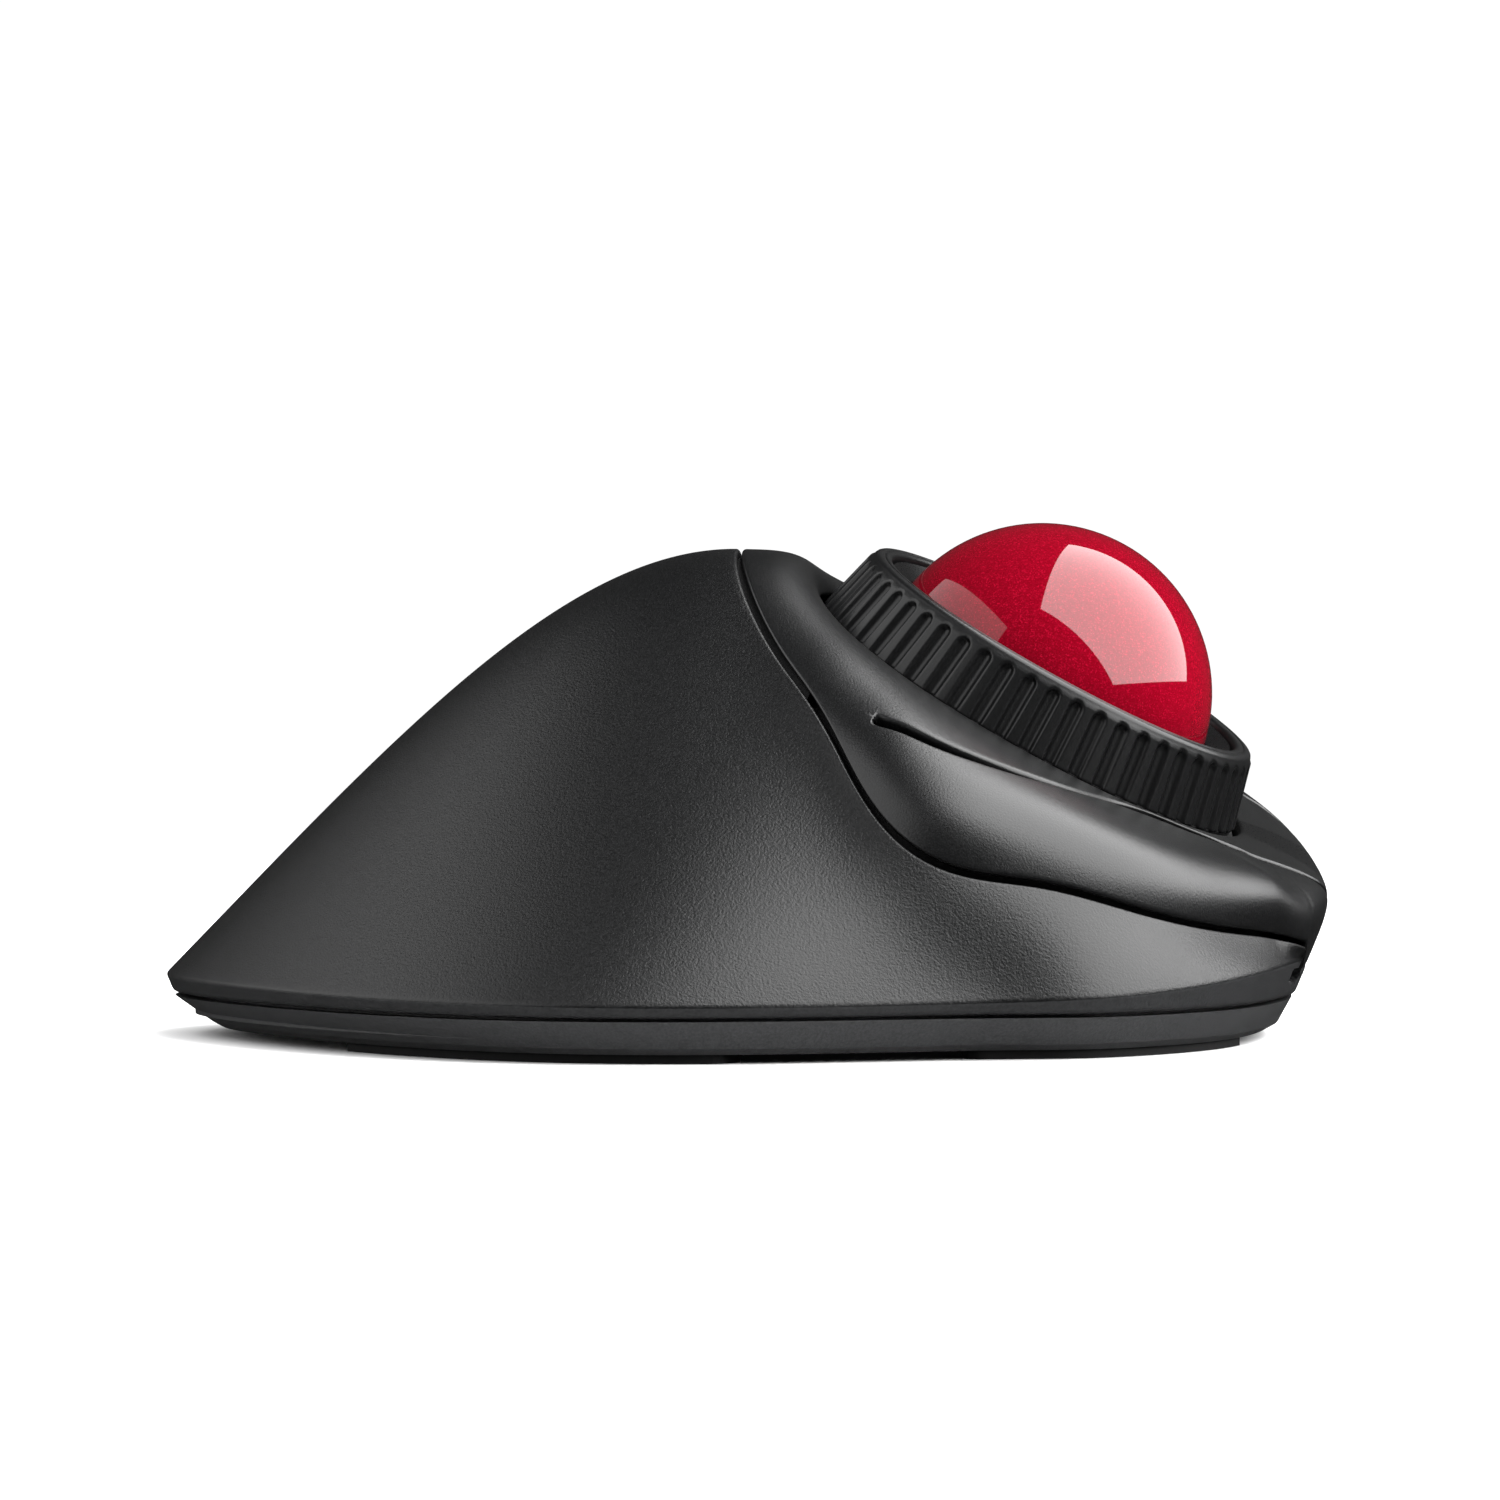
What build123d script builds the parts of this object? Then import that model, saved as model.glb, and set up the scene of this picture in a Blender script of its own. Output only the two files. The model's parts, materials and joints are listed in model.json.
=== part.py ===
from build123d import *
from math import atan2, cos, degrees, hypot, radians, sin
import os

import numpy as np

# Trackball mouse, millimetres. +X points to the front (the ball end), +Y to the user's left, +Z up.
# The origin is at the middle of the bounding box, on the surface that the feet stand on.

# ---------------------------------------------------------------- driving dimensions
POLE = (33.86, 7.62)              # plan centre of the radial sections of the body
BALL_CENTRE = Vector(35.16, 6.62, 39.9)
BALL_RADIUS = 20.0
LEAN_FORWARD = 28.6             # lean of the ring's axis towards the front, degrees
LEAN_RIGHT = 10.0               # lean of the ring's axis towards the right hand, degrees

FOOT_HEIGHT = 1.0               # the base floor stands this far above the desk
BASE_TOP = 4.65
PARTING_Z = 4.85                # middle of the groove between base and top shell
SHELL_BOTTOM = 5.05
BELT_FLARE = 0.42               # outward lean of the belt, mm per mm of height
SHELL = 2.0                     # wall of the moulded shells
PANEL_WALL = 1.8

RING_BOTTOM_H = -2.8            # heights and radii in the ring's own frame, from the ball's centre
RING_TOP_H = 5.7
RING_FOOT_R = 27.5
RING_RIM_R = 25.1
RING_BORE_R = 22.9
FLUTES = 54
FLUTE_R = 0.75
DISH_R = 28.2                   # where the panel ends, just outside the ring
DISH_H = -2.75
CENTRE_SHIFT = -0.5             # along X, brings the middle of the finished box over the origin


def unit(vector):
    return Vector(*vector).normalized()


AXIS = unit((sin(radians(LEAN_FORWARD)) * cos(radians(LEAN_RIGHT)),
             -sin(radians(LEAN_RIGHT)),
             cos(radians(LEAN_FORWARD)) * cos(radians(LEAN_RIGHT))))
ACROSS = Vector(0, 1, 0).cross(AXIS).normalized()
ALONG = AXIS.cross(ACROSS)
RING_FRAME = Plane(origin=BALL_CENTRE, x_dir=ACROSS, z_dir=AXIS)


class Rail:
    """A smooth closed curve through (angle in degrees: value), as a periodic cubic spline."""

    def __init__(self, knots):
        self.at = np.array(sorted(knots), float)
        values = [knots[k] for k in sorted(knots)]
        self.value = np.array(values + values[:1], float)
        self.span = np.diff(np.append(self.at, self.at[0] + 360))
        slope = np.diff(self.value) / self.span
        count = len(self.at)
        matrix, right = np.zeros((count, count)), np.zeros(count)
        for i in range(count):
            matrix[i, i] = 2 * (self.span[i - 1] + self.span[i])
            matrix[i, i - 1] = self.span[i - 1]
            matrix[i, (i + 1) % count] = self.span[i]
            right[i] = 6 * (slope[i] - slope[i - 1])
        bend = np.linalg.solve(matrix, right)
        self.bend = np.append(bend, bend[0])

    def __call__(self, angle):
        x = (angle - self.at[0]) % 360 + self.at[0]
        i = int(np.searchsorted(self.at, x, side="right") - 1)
        h, q = self.span[i], x - self.at[i]
        p = h - q
        m0, m1 = self.bend[i], self.bend[i + 1]
        y0, y1 = self.value[i], self.value[i + 1]
        return float((m0 * p**3 + m1 * q**3) / (6 * h) + (y0 / h - m0 * h / 6) * p + (y1 / h - m1 * h / 6) * q)


# ---------------------------------------------------------------- the lines of the body
# Angles run anticlockwise from the front (+X) about the pole: 90 is the left, 180 the rear, 270 the right.
parting_radius = Rail({0: 30.6, 22: 33.2, 45: 40.5, 70: 46.5, 95: 46.0, 120: 48.5, 145: 66.0, 160: 84.5, 170: 95.0,
                       180: 100.4, 192: 97.0, 204: 91.7, 216: 87.2, 229: 80.6, 246: 65.5, 263: 55.0, 273: 53.3,
                       283: 49.4, 297: 43.4, 317: 36.0, 335: 32.2})
crease_z = Rail({0: 8.7, 20: 8.7, 33: 9.4, 50: 8.8, 70: 7.5, 100: 6.8, 180: 7.2, 229: 6.3, 262: 6.4, 283: 7.2,
                 300: 8.4, 315: 9.1, 326: 9.2, 340: 8.7})
seam_radius = Rail({0: 31.6, 20: 34.0, 45: 41.0, 70: 45.0, 95: 44.5, 110: 45.0, 122: 42.5, 145: 37.5, 180: 34.0,
                    201: 36.4, 225: 41.3, 239: 46.2, 248: 51.0, 256: 52.5, 267: 50.2, 281: 46.1, 300: 39.8,
                    314: 37.0, 330: 34.3, 345: 32.2})
seam_z = Rail({0: 9.6, 25: 10.0, 45: 14.0, 70: 16.5, 95: 19.0, 108: 22.5, 120: 31.0, 132: 42.0, 150: 51.5,
               180: 56.9, 201: 53.6, 225: 43.0, 233: 38.7, 239: 34.3, 245: 28.7, 251: 23.6, 257: 20.6, 267: 18.9,
               281: 15.9, 300: 13.3, 314: 12.3, 330: 10.6, 345: 9.6})
# Slopes are angles below the horizontal, looking outward; negative climbs.
panel_rise = Rail({0: 0, 30: 5, 60: 8, 90: 8, 120: 18, 150: 42, 180: 62, 205: 50, 225: 32, 245: 12, 270: -2,
                   300: -4, 330: 0})
panel_fall = Rail({0: 124, 15: 116, 30: 108, 60: 98, 90: 90, 110: 82, 130: 52, 150: 18, 180: -2, 201: 15, 225: 45,
                   240: 62, 250: 78, 262: 88, 280: 95, 300: 105, 315: 113, 330: 121, 345: 126})
panel_reach = Rail({0: 0.78, 30: 0.70, 60: 0.55, 90: 0.45, 130: 0.40, 180: 0.55, 230: 0.40, 270: 0.45, 300: 0.54,
                    330: 0.75, 345: 0.80})
panel_pull = Rail({0: 0.59, 30: 0.53, 60: 0.45, 90: 0.42, 130: 0.35, 180: 0.45, 230: 0.35, 270: 0.42, 300: 0.47,
                   330: 0.59, 345: 0.61})
palm_start = Rail({0: 60, 30: 60, 60: 70, 90: 80, 110: 76, 130: 52, 150: 18, 180: -2, 201: 15, 225: 43, 240: 57,
                   250: 58, 262: 48, 280: 42, 300: 42, 330: 50})
palm_end = Rail({0: 60, 60: 75, 90: 80, 110: 80, 130: 70, 155: 54, 180: 46, 205: 46, 229: 46, 250: 58, 270: 62,
                 300: 55, 330: 50})
palm_reach = Rail({0: 0.3, 90: 0.33, 150: 0.28, 180: 0.245, 210: 0.28, 250: 0.33, 300: 0.33})
palm_pull = Rail({0: 0.33, 90: 0.36, 180: 0.445, 210: 0.42, 250: 0.36, 300: 0.33})

# ---------------------------------------------------------------- sections in a vertical plane through the pole
def circle_at(radius, height, angle):
    """(rho, z) where the half plane at this angle cuts a circle in the ring's frame."""
    turn = angle
    for _ in range(8):
        point = BALL_CENTRE + AXIS * height + (ACROSS * cos(radians(turn)) + ALONG * sin(radians(turn))) * radius
        here = degrees(atan2(point.Y - POLE[1], point.X - POLE[0]))
        turn += (angle - here + 180) % 360 - 180
    return hypot(point.X - POLE[0], point.Y - POLE[1]), point.Z


def curve_between(start, end, start_fall, end_fall, reach, pull):
    """Control points of a cubic from start to end in (rho, z), leaving and arriving at these angles of fall."""
    chord = hypot(end[0] - start[0], end[1] - start[1])
    a, b = radians(start_fall), radians(end_fall)
    return [start,
            (start[0] + reach * chord * cos(a), start[1] - reach * chord * sin(a)),
            (end[0] - pull * chord * cos(b), end[1] + pull * chord * sin(b)),
            end]


def panel_curve(angle):
    """The front panel, from the edge of the ring's dish to the seam."""
    start = circle_at(DISH_R, DISH_H, angle)
    plane_fall = degrees(atan2(AXIS.X * cos(radians(angle)) + AXIS.Y * sin(radians(angle)), AXIS.Z))
    return curve_between(start, (seam_radius(angle), seam_z(angle)), plane_fall - panel_rise(angle),
                         panel_fall(angle), panel_reach(angle), panel_pull(angle))


def crease_point(angle):
    z = crease_z(angle)
    return parting_radius(angle) + BELT_FLARE * (z - PARTING_Z), z


def palm_curve(angle):
    """The palm cover, from the seam to the crease above the belt."""
    return curve_between((seam_radius(angle), seam_z(angle)), crease_point(angle), palm_start(angle),
                         palm_end(angle), palm_reach(angle), palm_pull(angle))


def at(curve, t):
    weights = ((1 - t)**3, 3 * t * (1 - t)**2, 3 * t * t * (1 - t), t**3)
    return tuple(sum(w * p[i] for w, p in zip(weights, curve)) for i in (0, 1))


def trimmed(curve, t0, t1):
    """The stretch of a cubic from t0 to t1, as control points."""
    def mix(a, b, t):
        return (a[0] + (b[0] - a[0]) * t, a[1] + (b[1] - a[1]) * t)

    def halves(points, t):
        rows = [points]
        while len(rows[-1]) > 1:
            rows.append([mix(a, b, t) for a, b in zip(rows[-1], rows[-1][1:])])
        return [r[0] for r in rows], [r[-1] for r in reversed(rows)]

    left = halves(curve, t1)[0]
    return halves(left, t0 / t1)[1] if t0 > 0 else left


def length(curve, steps=40):
    points = [at(curve, i / steps) for i in range(steps + 1)]
    return sum(hypot(b[0] - a[0], b[1] - a[1]) for a, b in zip(points, points[1:]))


def t_at_distance(curve, distance, steps=200):
    """The parameter this far along the curve from its start, or from its end if distance is negative."""
    points = [at(curve, i / steps) for i in range(steps + 1)]
    order = range(steps) if distance >= 0 else range(steps - 1, -1, -1)
    left = abs(distance)
    for i in order:
        step = hypot(points[i + 1][0] - points[i][0], points[i + 1][1] - points[i][1])
        if step >= left:
            return (i + left / step) / steps if distance >= 0 else (i + 1 - left / step) / steps
        left -= step
    return 1.0 if distance >= 0 else 0.0


def t_at_radius(curve, rho, steps=200):
    """The first parameter at which the curve is this far from the pole."""
    for i in range(steps):
        a, b = at(curve, i / steps)[0], at(curve, (i + 1) / steps)[0]
        if (a - rho) * (b - rho) <= 0 and a != b:
            return (i + (rho - a) / (b - a)) / steps
    return 1.0


def inward(curve, wall):
    """Control points of the curve moved by the wall's thickness to its inner side."""
    def normal(a, b):
        along = hypot(b[0] - a[0], b[1] - a[1])
        return ((b[1] - a[1]) / along, -(b[0] - a[0]) / along)

    n0, n1 = normal(curve[0], curve[1]), normal(curve[2], curve[3])
    start = (curve[0][0] + n0[0] * wall, curve[0][1] + n0[1] * wall)
    end = (curve[3][0] + n1[0] * wall, curve[3][1] + n1[1] * wall)
    chord = hypot(curve[3][0] - curve[0][0], curve[3][1] - curve[0][1])
    scale = hypot(end[0] - start[0], end[1] - start[1]) / chord
    handle = [((curve[1][i] - curve[0][i]) * scale, (curve[2][i] - curve[3][i]) * scale) for i in (0, 1)]
    return [start, (start[0] + handle[0][0], start[1] + handle[1][0]),
            (end[0] + handle[0][1], end[1] + handle[1][1]), end]


def place(point, angle):
    rho, z = point
    return Vector(POLE[0] + rho * cos(radians(angle)), POLE[1] + rho * sin(radians(angle)), z)


def outline_wire(pieces, angle):
    """A closed wire in the half plane at this angle. Each piece is a list of 2 or 4 control points."""
    edges = []
    for points in pieces:
        spots = [place(p, angle) for p in points]
        edges.append(Edge.make_line(*spots) if len(spots) == 2 else Edge.make_bezier(*spots))
    return Wire(edges)


def shell_section(curve, wall, angle):
    """A closed section: the outer curve, its inner copy and the two end walls."""
    inner = inward(curve, wall)
    return outline_wire([curve, [curve[3], inner[3]], inner[::-1], [inner[0], curve[0]]], angle)


def angles_between(first, last, step=9.0):
    count = max(2, round((last - first) / step))
    return [first + (last - first) * i / count for i in range(count + 1)]


def strip(surface, first, last, from_t, to_t, wall, step=9.0):
    """A shell over part of a surface, lofted through radial sections."""
    wires = []
    for angle in angles_between(first, last, step):
        curve = surface(angle % 360)
        wires.append(shell_section(trimmed(curve, from_t(angle % 360, curve), to_t(angle % 360, curve)), wall, angle))
    return Solid.make_loft(wires)


# ---------------------------------------------------------------- where the panel is cut
SEAM_GAP = 0.5                  # from the seam's middle to either shell
SLIT_HALF = 0.45
HINGE_GAP = 0.15
RIGHT_HINGE, RIGHT_NOSE = 243.3, 350.0
LEFT_NOSE, LEFT_HINGE = 10.0, 126.0
# The slit's middle, as a share of the panel's width from the dish to the seam.
slit_share = Rail({0: 0.65, 10: 0.58, 20: 0.45, 32: 0.28, 45: 0.15, 60: 0.09, 75: 0.11, 90: 0.20, 102: 0.36,
                   112: 0.52, 121: 0.62, 126: 0.66, 180: 0.68, 235: 0.68, 243: 0.66, 247: 0.57, 252: 0.51, 260: 0.465,
                   268: 0.41, 275: 0.29, 282: 0.165, 290: 0.085, 298: 0.058, 308: 0.076, 318: 0.12, 328: 0.237,
                   336: 0.365, 343: 0.53, 350: 0.65})
SIDE_BUTTONS = {"forward_button": (62.0, 84.9), "back_button": (86.1, 110.0)}
SIDE_BUTTON_FROM = 0.66         # share of the panel's width at which the side buttons begin
SIDE_BUTTON_GAP = 1.0


def whole_start(angle, curve):
    return 0.0


def panel_end(angle, curve):
    return t_at_distance(curve, -SEAM_GAP)


def slit_t(angle, curve, offset):
    return t_at_distance(curve, slit_share(angle) * length(curve) + offset)


def button_start(angle, curve):
    return slit_t(angle, curve, SLIT_HALF)


def rim_end(angle, curve):
    return slit_t(angle, curve, -SLIT_HALF)


def palm_begin(angle, curve):
    return t_at_distance(curve, SEAM_GAP)


def height_on(surface, x, y):
    """Height of the outer surface above a plan position, on the outward side of its first crossing."""
    rho, angle = hypot(x - POLE[0], y - POLE[1]), degrees(atan2(y - POLE[1], x - POLE[0]))
    curve = surface(angle % 360)
    return at(curve, t_at_radius(curve, rho))[1]


def upright(x, y, z0, z1, radius):
    """A round post from z0 to z1."""
    return Pos(x, y, (z0 + z1) / 2) * Cylinder(radius, z1 - z0)


def block(x0, x1, y0, y1, z0, z1):
    return Pos((x0 + x1) / 2, (y0 + y1) / 2, (z0 + z1) / 2) * Box(x1 - x0, y1 - y0, z1 - z0)


def turned(profile):
    """A ring-frame solid of revolution from (radius, height) corners."""
    spots = [RING_FRAME.from_local_coords((r, 0, h)) for r, h in profile]
    face = Face(Wire.make_polygon(spots, close=True))
    return Solid.revolve(face, 360, Axis(BALL_CENTRE, AXIS))


def ring_spot(radius, height, angle):
    return BALL_CENTRE + AXIS * height + (ACROSS * cos(radians(angle)) + ALONG * sin(radians(angle))) * radius


def rod(start, end, radius):
    """A round bar between two points."""
    reach = end - start
    return Plane(origin=start, z_dir=reach) * Cylinder(radius, reach.length,
                                                       align=(Align.CENTER, Align.CENTER, Align.MIN))


# ---------------------------------------------------------------- outer shells
def belt_spots(angle):
    """Crease, foot of the belt, and the inner side of both."""
    rho, z = crease_point(angle)
    foot = parting_radius(angle) + BELT_FLARE * (SHELL_BOTTOM - PARTING_Z)
    return (rho, z), (foot, SHELL_BOTTOM), (foot - SHELL, SHELL_BOTTOM), (rho - SHELL, z)


def palm_section(angle):
    curve = trimmed(palm_curve(angle % 360), palm_begin(angle, palm_curve(angle % 360)), 1.0)
    inner = inward(curve, SHELL)
    crease, foot, foot_in, _ = belt_spots(angle)
    return outline_wire([curve, [crease, foot], [foot, foot_in], [foot_in, inner[3]], inner[::-1],
                         [inner[0], curve[0]]], angle)


def belt_section(angle):
    crease, foot, foot_in, crease_in = belt_spots(angle)
    return outline_wire([[crease, foot], [foot, foot_in], [foot_in, crease_in], [crease_in, crease]], angle)


PALM_FIRST, PALM_LAST = 30.0, 330.0
PALM_BOSSES = ((-50.0, 6.6), (-8.0, -38.0), (-6.0, 33.0))
SCREW_R = 1.35


def boss_top(x, y):
    """A height inside the wall above this screw boss, taken at the boss's outer side."""
    far = 1 + 3.2 / hypot(x - POLE[0], y - POLE[1])
    return height_on(palm_curve, POLE[0] + (x - POLE[0]) * far, POLE[1] + (y - POLE[1]) * far) - 0.8


def palm_cover():
    shell = Solid.make_loft([palm_section(a) for a in angles_between(PALM_FIRST, PALM_LAST, 7.5)])
    front = Solid.make_loft([belt_section(a) for a in angles_between(PALM_LAST, 360 + PALM_FIRST, 6)])
    shell += front
    for x, y in PALM_BOSSES:
        shell += upright(x, y, 3.3, boss_top(x, y), 3.2)
        shell -= upright(x, y, 3.0, 14.0, SCREW_R)
    return shell


FRAME_REACH = 3.0               # the seam frame reaches this far under the panel's edge
FRAME_DEPTH = 2.75              # its face lies this far below the panel's outer face
FRAME_WALL = 1.0


def under_skirt(angle, distance):
    """A point just inside the palm cover this far below the seam, running on down the belt."""
    curve = palm_curve(angle % 360)
    curve = trimmed(curve, palm_begin(angle, curve), 1.0)
    inner = inward(curve, SHELL + 0.5 + max(0, 12 - length(curve)) * 0.15)
    if distance < length(inner):
        return at(inner, t_at_distance(inner, distance))
    rho, z = crease_point(angle)
    drop = distance - length(curve)
    return rho - SHELL - 0.4 - BELT_FLARE * drop, z - drop


def frame_section(angle):
    panel = panel_curve(angle % 360)
    panel = trimmed(panel, 0, t_at_distance(panel, -SEAM_GAP))
    high = trimmed(panel, 0, t_at_distance(panel, -FRAME_REACH))
    fall = atan2(panel[2][1] - panel[3][1], panel[3][0] - panel[2][0])
    tip, tip_in = inward(high, FRAME_DEPTH)[3], inward(high, FRAME_DEPTH + FRAME_WALL)[3]
    bend = inward(panel, FRAME_DEPTH)[3]
    bend = (bend[0] + cos(fall), bend[1] - sin(fall))
    bend_in = inward(panel, FRAME_DEPTH + FRAME_WALL)[3]
    bend_in = (bend_in[0] + 2 * cos(fall), bend_in[1] - 2 * sin(fall))
    skirt, skirt_low = under_skirt(angle, 2.2), under_skirt(angle, 3.2)
    corners = [tip, bend, skirt, skirt_low, bend_in, tip_in]
    return outline_wire([[a, b] for a, b in zip(corners, corners[1:] + corners[:1])], angle)


def seam_frame():
    """The split frame behind the seam that closes the gap between the skirt and the panels."""
    return Solid.make_loft([frame_section(a) for a in angles_between(181, 539, 6)])


NOSE_GAP = 0.1                  # the hairline at each side of the nose panel, degrees


def centre_panel():
    """The saddle behind the ring and the two rims that run forward beside it."""
    saddle = strip(panel_curve, LEFT_HINGE, RIGHT_HINGE, whole_start, panel_end, PANEL_WALL, 7)
    right = strip(panel_curve, RIGHT_HINGE, RIGHT_NOSE + 1, whole_start, rim_end, PANEL_WALL, 7)
    left = strip(panel_curve, LEFT_NOSE - 1, LEFT_HINGE, whole_start, rim_end, PANEL_WALL, 7)
    return [saddle, right, left]


def nose_panel():
    """The smooth tongue in front of the ring, between the two main buttons."""
    first, last = RIGHT_NOSE + 1 + NOSE_GAP, 360 + LEFT_NOSE - 1 - NOSE_GAP
    return strip(panel_curve, first, last, whole_start, panel_end, PANEL_WALL, 3)


RIGHT_PRESS_AT = (39.0, -28.0)  # where the microswitches sit in plan
LEFT_PRESS_AT = (50.6, 34.2)
PRESS_TOP = {"right": 19.0, "left": 17.0}
SWITCH_H = 6.5


def button_rib(x, y, z):
    """The post under a button that presses its switch."""
    return upright(x, y, z, height_on(panel_curve, x, y) - 1.0, 1.5)


def right_button():
    shell = strip(panel_curve, RIGHT_HINGE + HINGE_GAP * 2, RIGHT_NOSE, button_start, panel_end, PANEL_WALL, 6)
    return shell + button_rib(*RIGHT_PRESS_AT, PRESS_TOP["right"] + 0.1)


def side_button_line(angle, curve):
    return SIDE_BUTTON_FROM


def left_button_end(angle, curve):
    return SIDE_BUTTON_FROM - SIDE_BUTTON_GAP / length(curve)


def left_button():
    first, last = SIDE_BUTTONS["forward_button"][0], SIDE_BUTTONS["back_button"][1]
    hinge = LEFT_HINGE - HINGE_GAP * 2
    front = strip(panel_curve, LEFT_NOSE, first - 1, button_start, panel_end, PANEL_WALL, 6)
    above = strip(panel_curve, first - 1, last + 1, button_start, left_button_end, PANEL_WALL, 6)
    behind = strip(panel_curve, last + 1, hinge, button_start, panel_end, PANEL_WALL, 5)
    return [front + button_rib(*LEFT_PRESS_AT, PRESS_TOP["left"] + 0.1), above, behind]


SIDE_PRESS = 86.0               # the side buttons travel inward along this direction
SIDE_AXIS = Vector(-cos(radians(SIDE_PRESS)), -sin(radians(SIDE_PRESS)), 0)
SIDE_STEM_RHO = 39.6            # where a side button's stem meets its switch
SIDE_SPOTS = {"forward_button": (75.0, 22.6), "back_button": (97.0, 25.6)}


def side_button(name):
    first, last = SIDE_BUTTONS[name]
    shell = strip(panel_curve, first, last, side_button_line, panel_end, PANEL_WALL, 5)
    angle, z = SIDE_SPOTS[name]
    spot = side_spot(name, 43.0)
    return shell + rod(side_spot(name, SIDE_STEM_RHO), spot, 1.6)


def side_spot(name, reach):
    """A point on the line along which this side button presses, this far from the pole."""
    angle, z = SIDE_SPOTS[name]
    outer = place((44.0, z), angle)
    return outer + SIDE_AXIS * (44.0 - reach)


# ---------------------------------------------------------------- the base
bottom_inset = Rail({0: 1.6, 45: 2.2, 90: 2.8, 135: 3.2, 180: 4.2, 225: 3.2, 270: 2.8, 315: 2.2})
BASE_CHAMFER_Z = 1.7
FLOOR_TOP = 3.0


def plan_wire(inset, z, extra=None):
    """The parting outline moved inward, as a closed smooth wire at this height."""
    spots = []
    for i in range(60):
        angle = 6.0 * i
        rho = parting_radius(angle) - inset - (extra(angle) if extra else 0)
        spots.append(place((rho, z), angle))
    return Wire([Edge.make_spline(spots, periodic=True)])


def plan_solid(levels):
    return Solid.make_loft([plan_wire(inset, z, extra) for inset, z, extra in levels], ruled=True)


BALL_HOLE_R = 9.0
DOOR = (-32.5, -16.5, -29.0, 31.0)          # battery door opening: x0, x1, y0, y1
RECEIVER_BAY = (-13.0, 2.0, -23.4, -3.4)
POWER_AT, DPI_AT = (10.0, 28.0), (12.0, -22.0)
LEG_ANGLES = (48.0, 132.0, 228.0, 312.0)
LEG_R = 2.8
BOARD = (4.0, 24.0, -32.0, 38.0, 6.0, 7.6)
BOARD_POSTS = ((6.5, -29.0), (21.5, -29.0), (6.5, 35.0), (21.5, 35.0))


def leg_spot(angle):
    return ring_spot(26.3, -8.0, angle)


def base_case():
    outer = plan_solid([(1.3, FOOT_HEIGHT, bottom_inset), (0.0, BASE_CHAMFER_Z, bottom_inset), (0.07, BASE_TOP, None)])
    lip = plan_solid([(2.4, FLOOR_TOP - 0.5, None), (2.4, 6.2, None)])
    cavity = plan_solid([(6.0, FLOOR_TOP, None), (3.4, FLOOR_TOP + 1.6, None), (3.4, 8.0, None)])
    base = outer + lip - cavity
    base -= upright(BALL_CENTRE.X, BALL_CENTRE.Y, 0, 5, BALL_HOLE_R)
    base += upright(BALL_CENTRE.X, BALL_CENTRE.Y, FOOT_HEIGHT, 6, BALL_HOLE_R + 1.4) - upright(
        BALL_CENTRE.X, BALL_CENTRE.Y, 0, 7, BALL_HOLE_R)
    x0, x1, y0, y1 = DOOR
    base -= block(x0, x1, y0, y1, 0, 5)
    x0, x1, y0, y1 = RECEIVER_BAY
    base += block(x0 - 1.2, x1 + 1.2, y0 - 1.2, y1 + 1.2, FLOOR_TOP - 1, 8.2) - block(x0, x1, y0, y1, 0, 7.0)
    base -= block(x0, x1, y0, y1, 0, 7.0)
    base -= block(POWER_AT[0] - 1.7, POWER_AT[0] + 1.7, POWER_AT[1] - 4.0, POWER_AT[1] + 4.0, 0, 5)
    base -= upright(*DPI_AT, 0, 5, 3.2)
    for x, y in BOARD_POSTS:
        base += upright(x, y, FLOOR_TOP - 1, BOARD[4] - 0.02, 2.2)
    for x, y in screw_spots():
        base -= upright(x, y, 0, 5, SCREW_R + 0.25)
        base -= upright(x, y, 0, 2.15, 3.0)
    return base


def screw_spots():
    legs = [leg_spot(a) for a in (LEG_ANGLES[0], LEG_ANGLES[3])]
    return [*PALM_BOSSES, *((p.X, p.Y) for p in legs)]


def case_screws():
    return [upright(x, y, 1.1, 2.13, 2.7) - block(x - 1.8, x + 1.8, y - 0.3, y + 0.3, 1, 1.7)
            - block(x - 0.3, x + 0.3, y - 1.8, y + 1.8, 1, 1.7) + upright(x, y, 2.0, 11.0, SCREW_R - 0.05)
            for x, y in screw_spots()]


FEET = {"foot_rear_right": (204, 238), "foot_front_right": (258, 312), "foot_front_left": (48, 100),
        "foot_rear_left": (124, 160)}


def foot(first, last):
    """A rubber pad that follows the edge of the base."""
    def side(inset):
        return [place((parting_radius(a) - bottom_inset(a) - inset, 0), a) for a in angles_between(first, last, 5)]

    outer, inner = side(1.9), side(9.5)
    edges = [Edge.make_spline(outer), Edge.make_line(outer[-1], inner[-1]), Edge.make_spline(inner[::-1]),
             Edge.make_line(inner[0], outer[0])]
    pad = Solid.extrude(Face(Wire(edges)), Vector(0, 0, FOOT_HEIGHT))
    return fillet(pad.edges().filter_by(Axis.Z), 2.0)


# ---------------------------------------------------------------- ball, ring and their housing
def scroll_ring():
    body = turned([(RING_FOOT_R, RING_BOTTOM_H), (25.55, 4.5), (RING_RIM_R, 5.3), (24.6, RING_TOP_H),
                   (RING_BORE_R, RING_TOP_H), (RING_BORE_R, -5.9), (23.8, -5.9), (23.8, 3.4), (24.2, 3.4),
                   (25.7, RING_BOTTOM_H)])
    cuts = []
    for i in range(FLUTES):
        angle = 360 * i / FLUTES
        low, high = ring_spot(RING_FOOT_R + 0.35, RING_BOTTOM_H - 0.5, angle), ring_spot(25.9, 4.0, angle)
        cuts += [rod(low, high, FLUTE_R), Pos(*high) * Sphere(FLUTE_R)]
    return body - cuts


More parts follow.
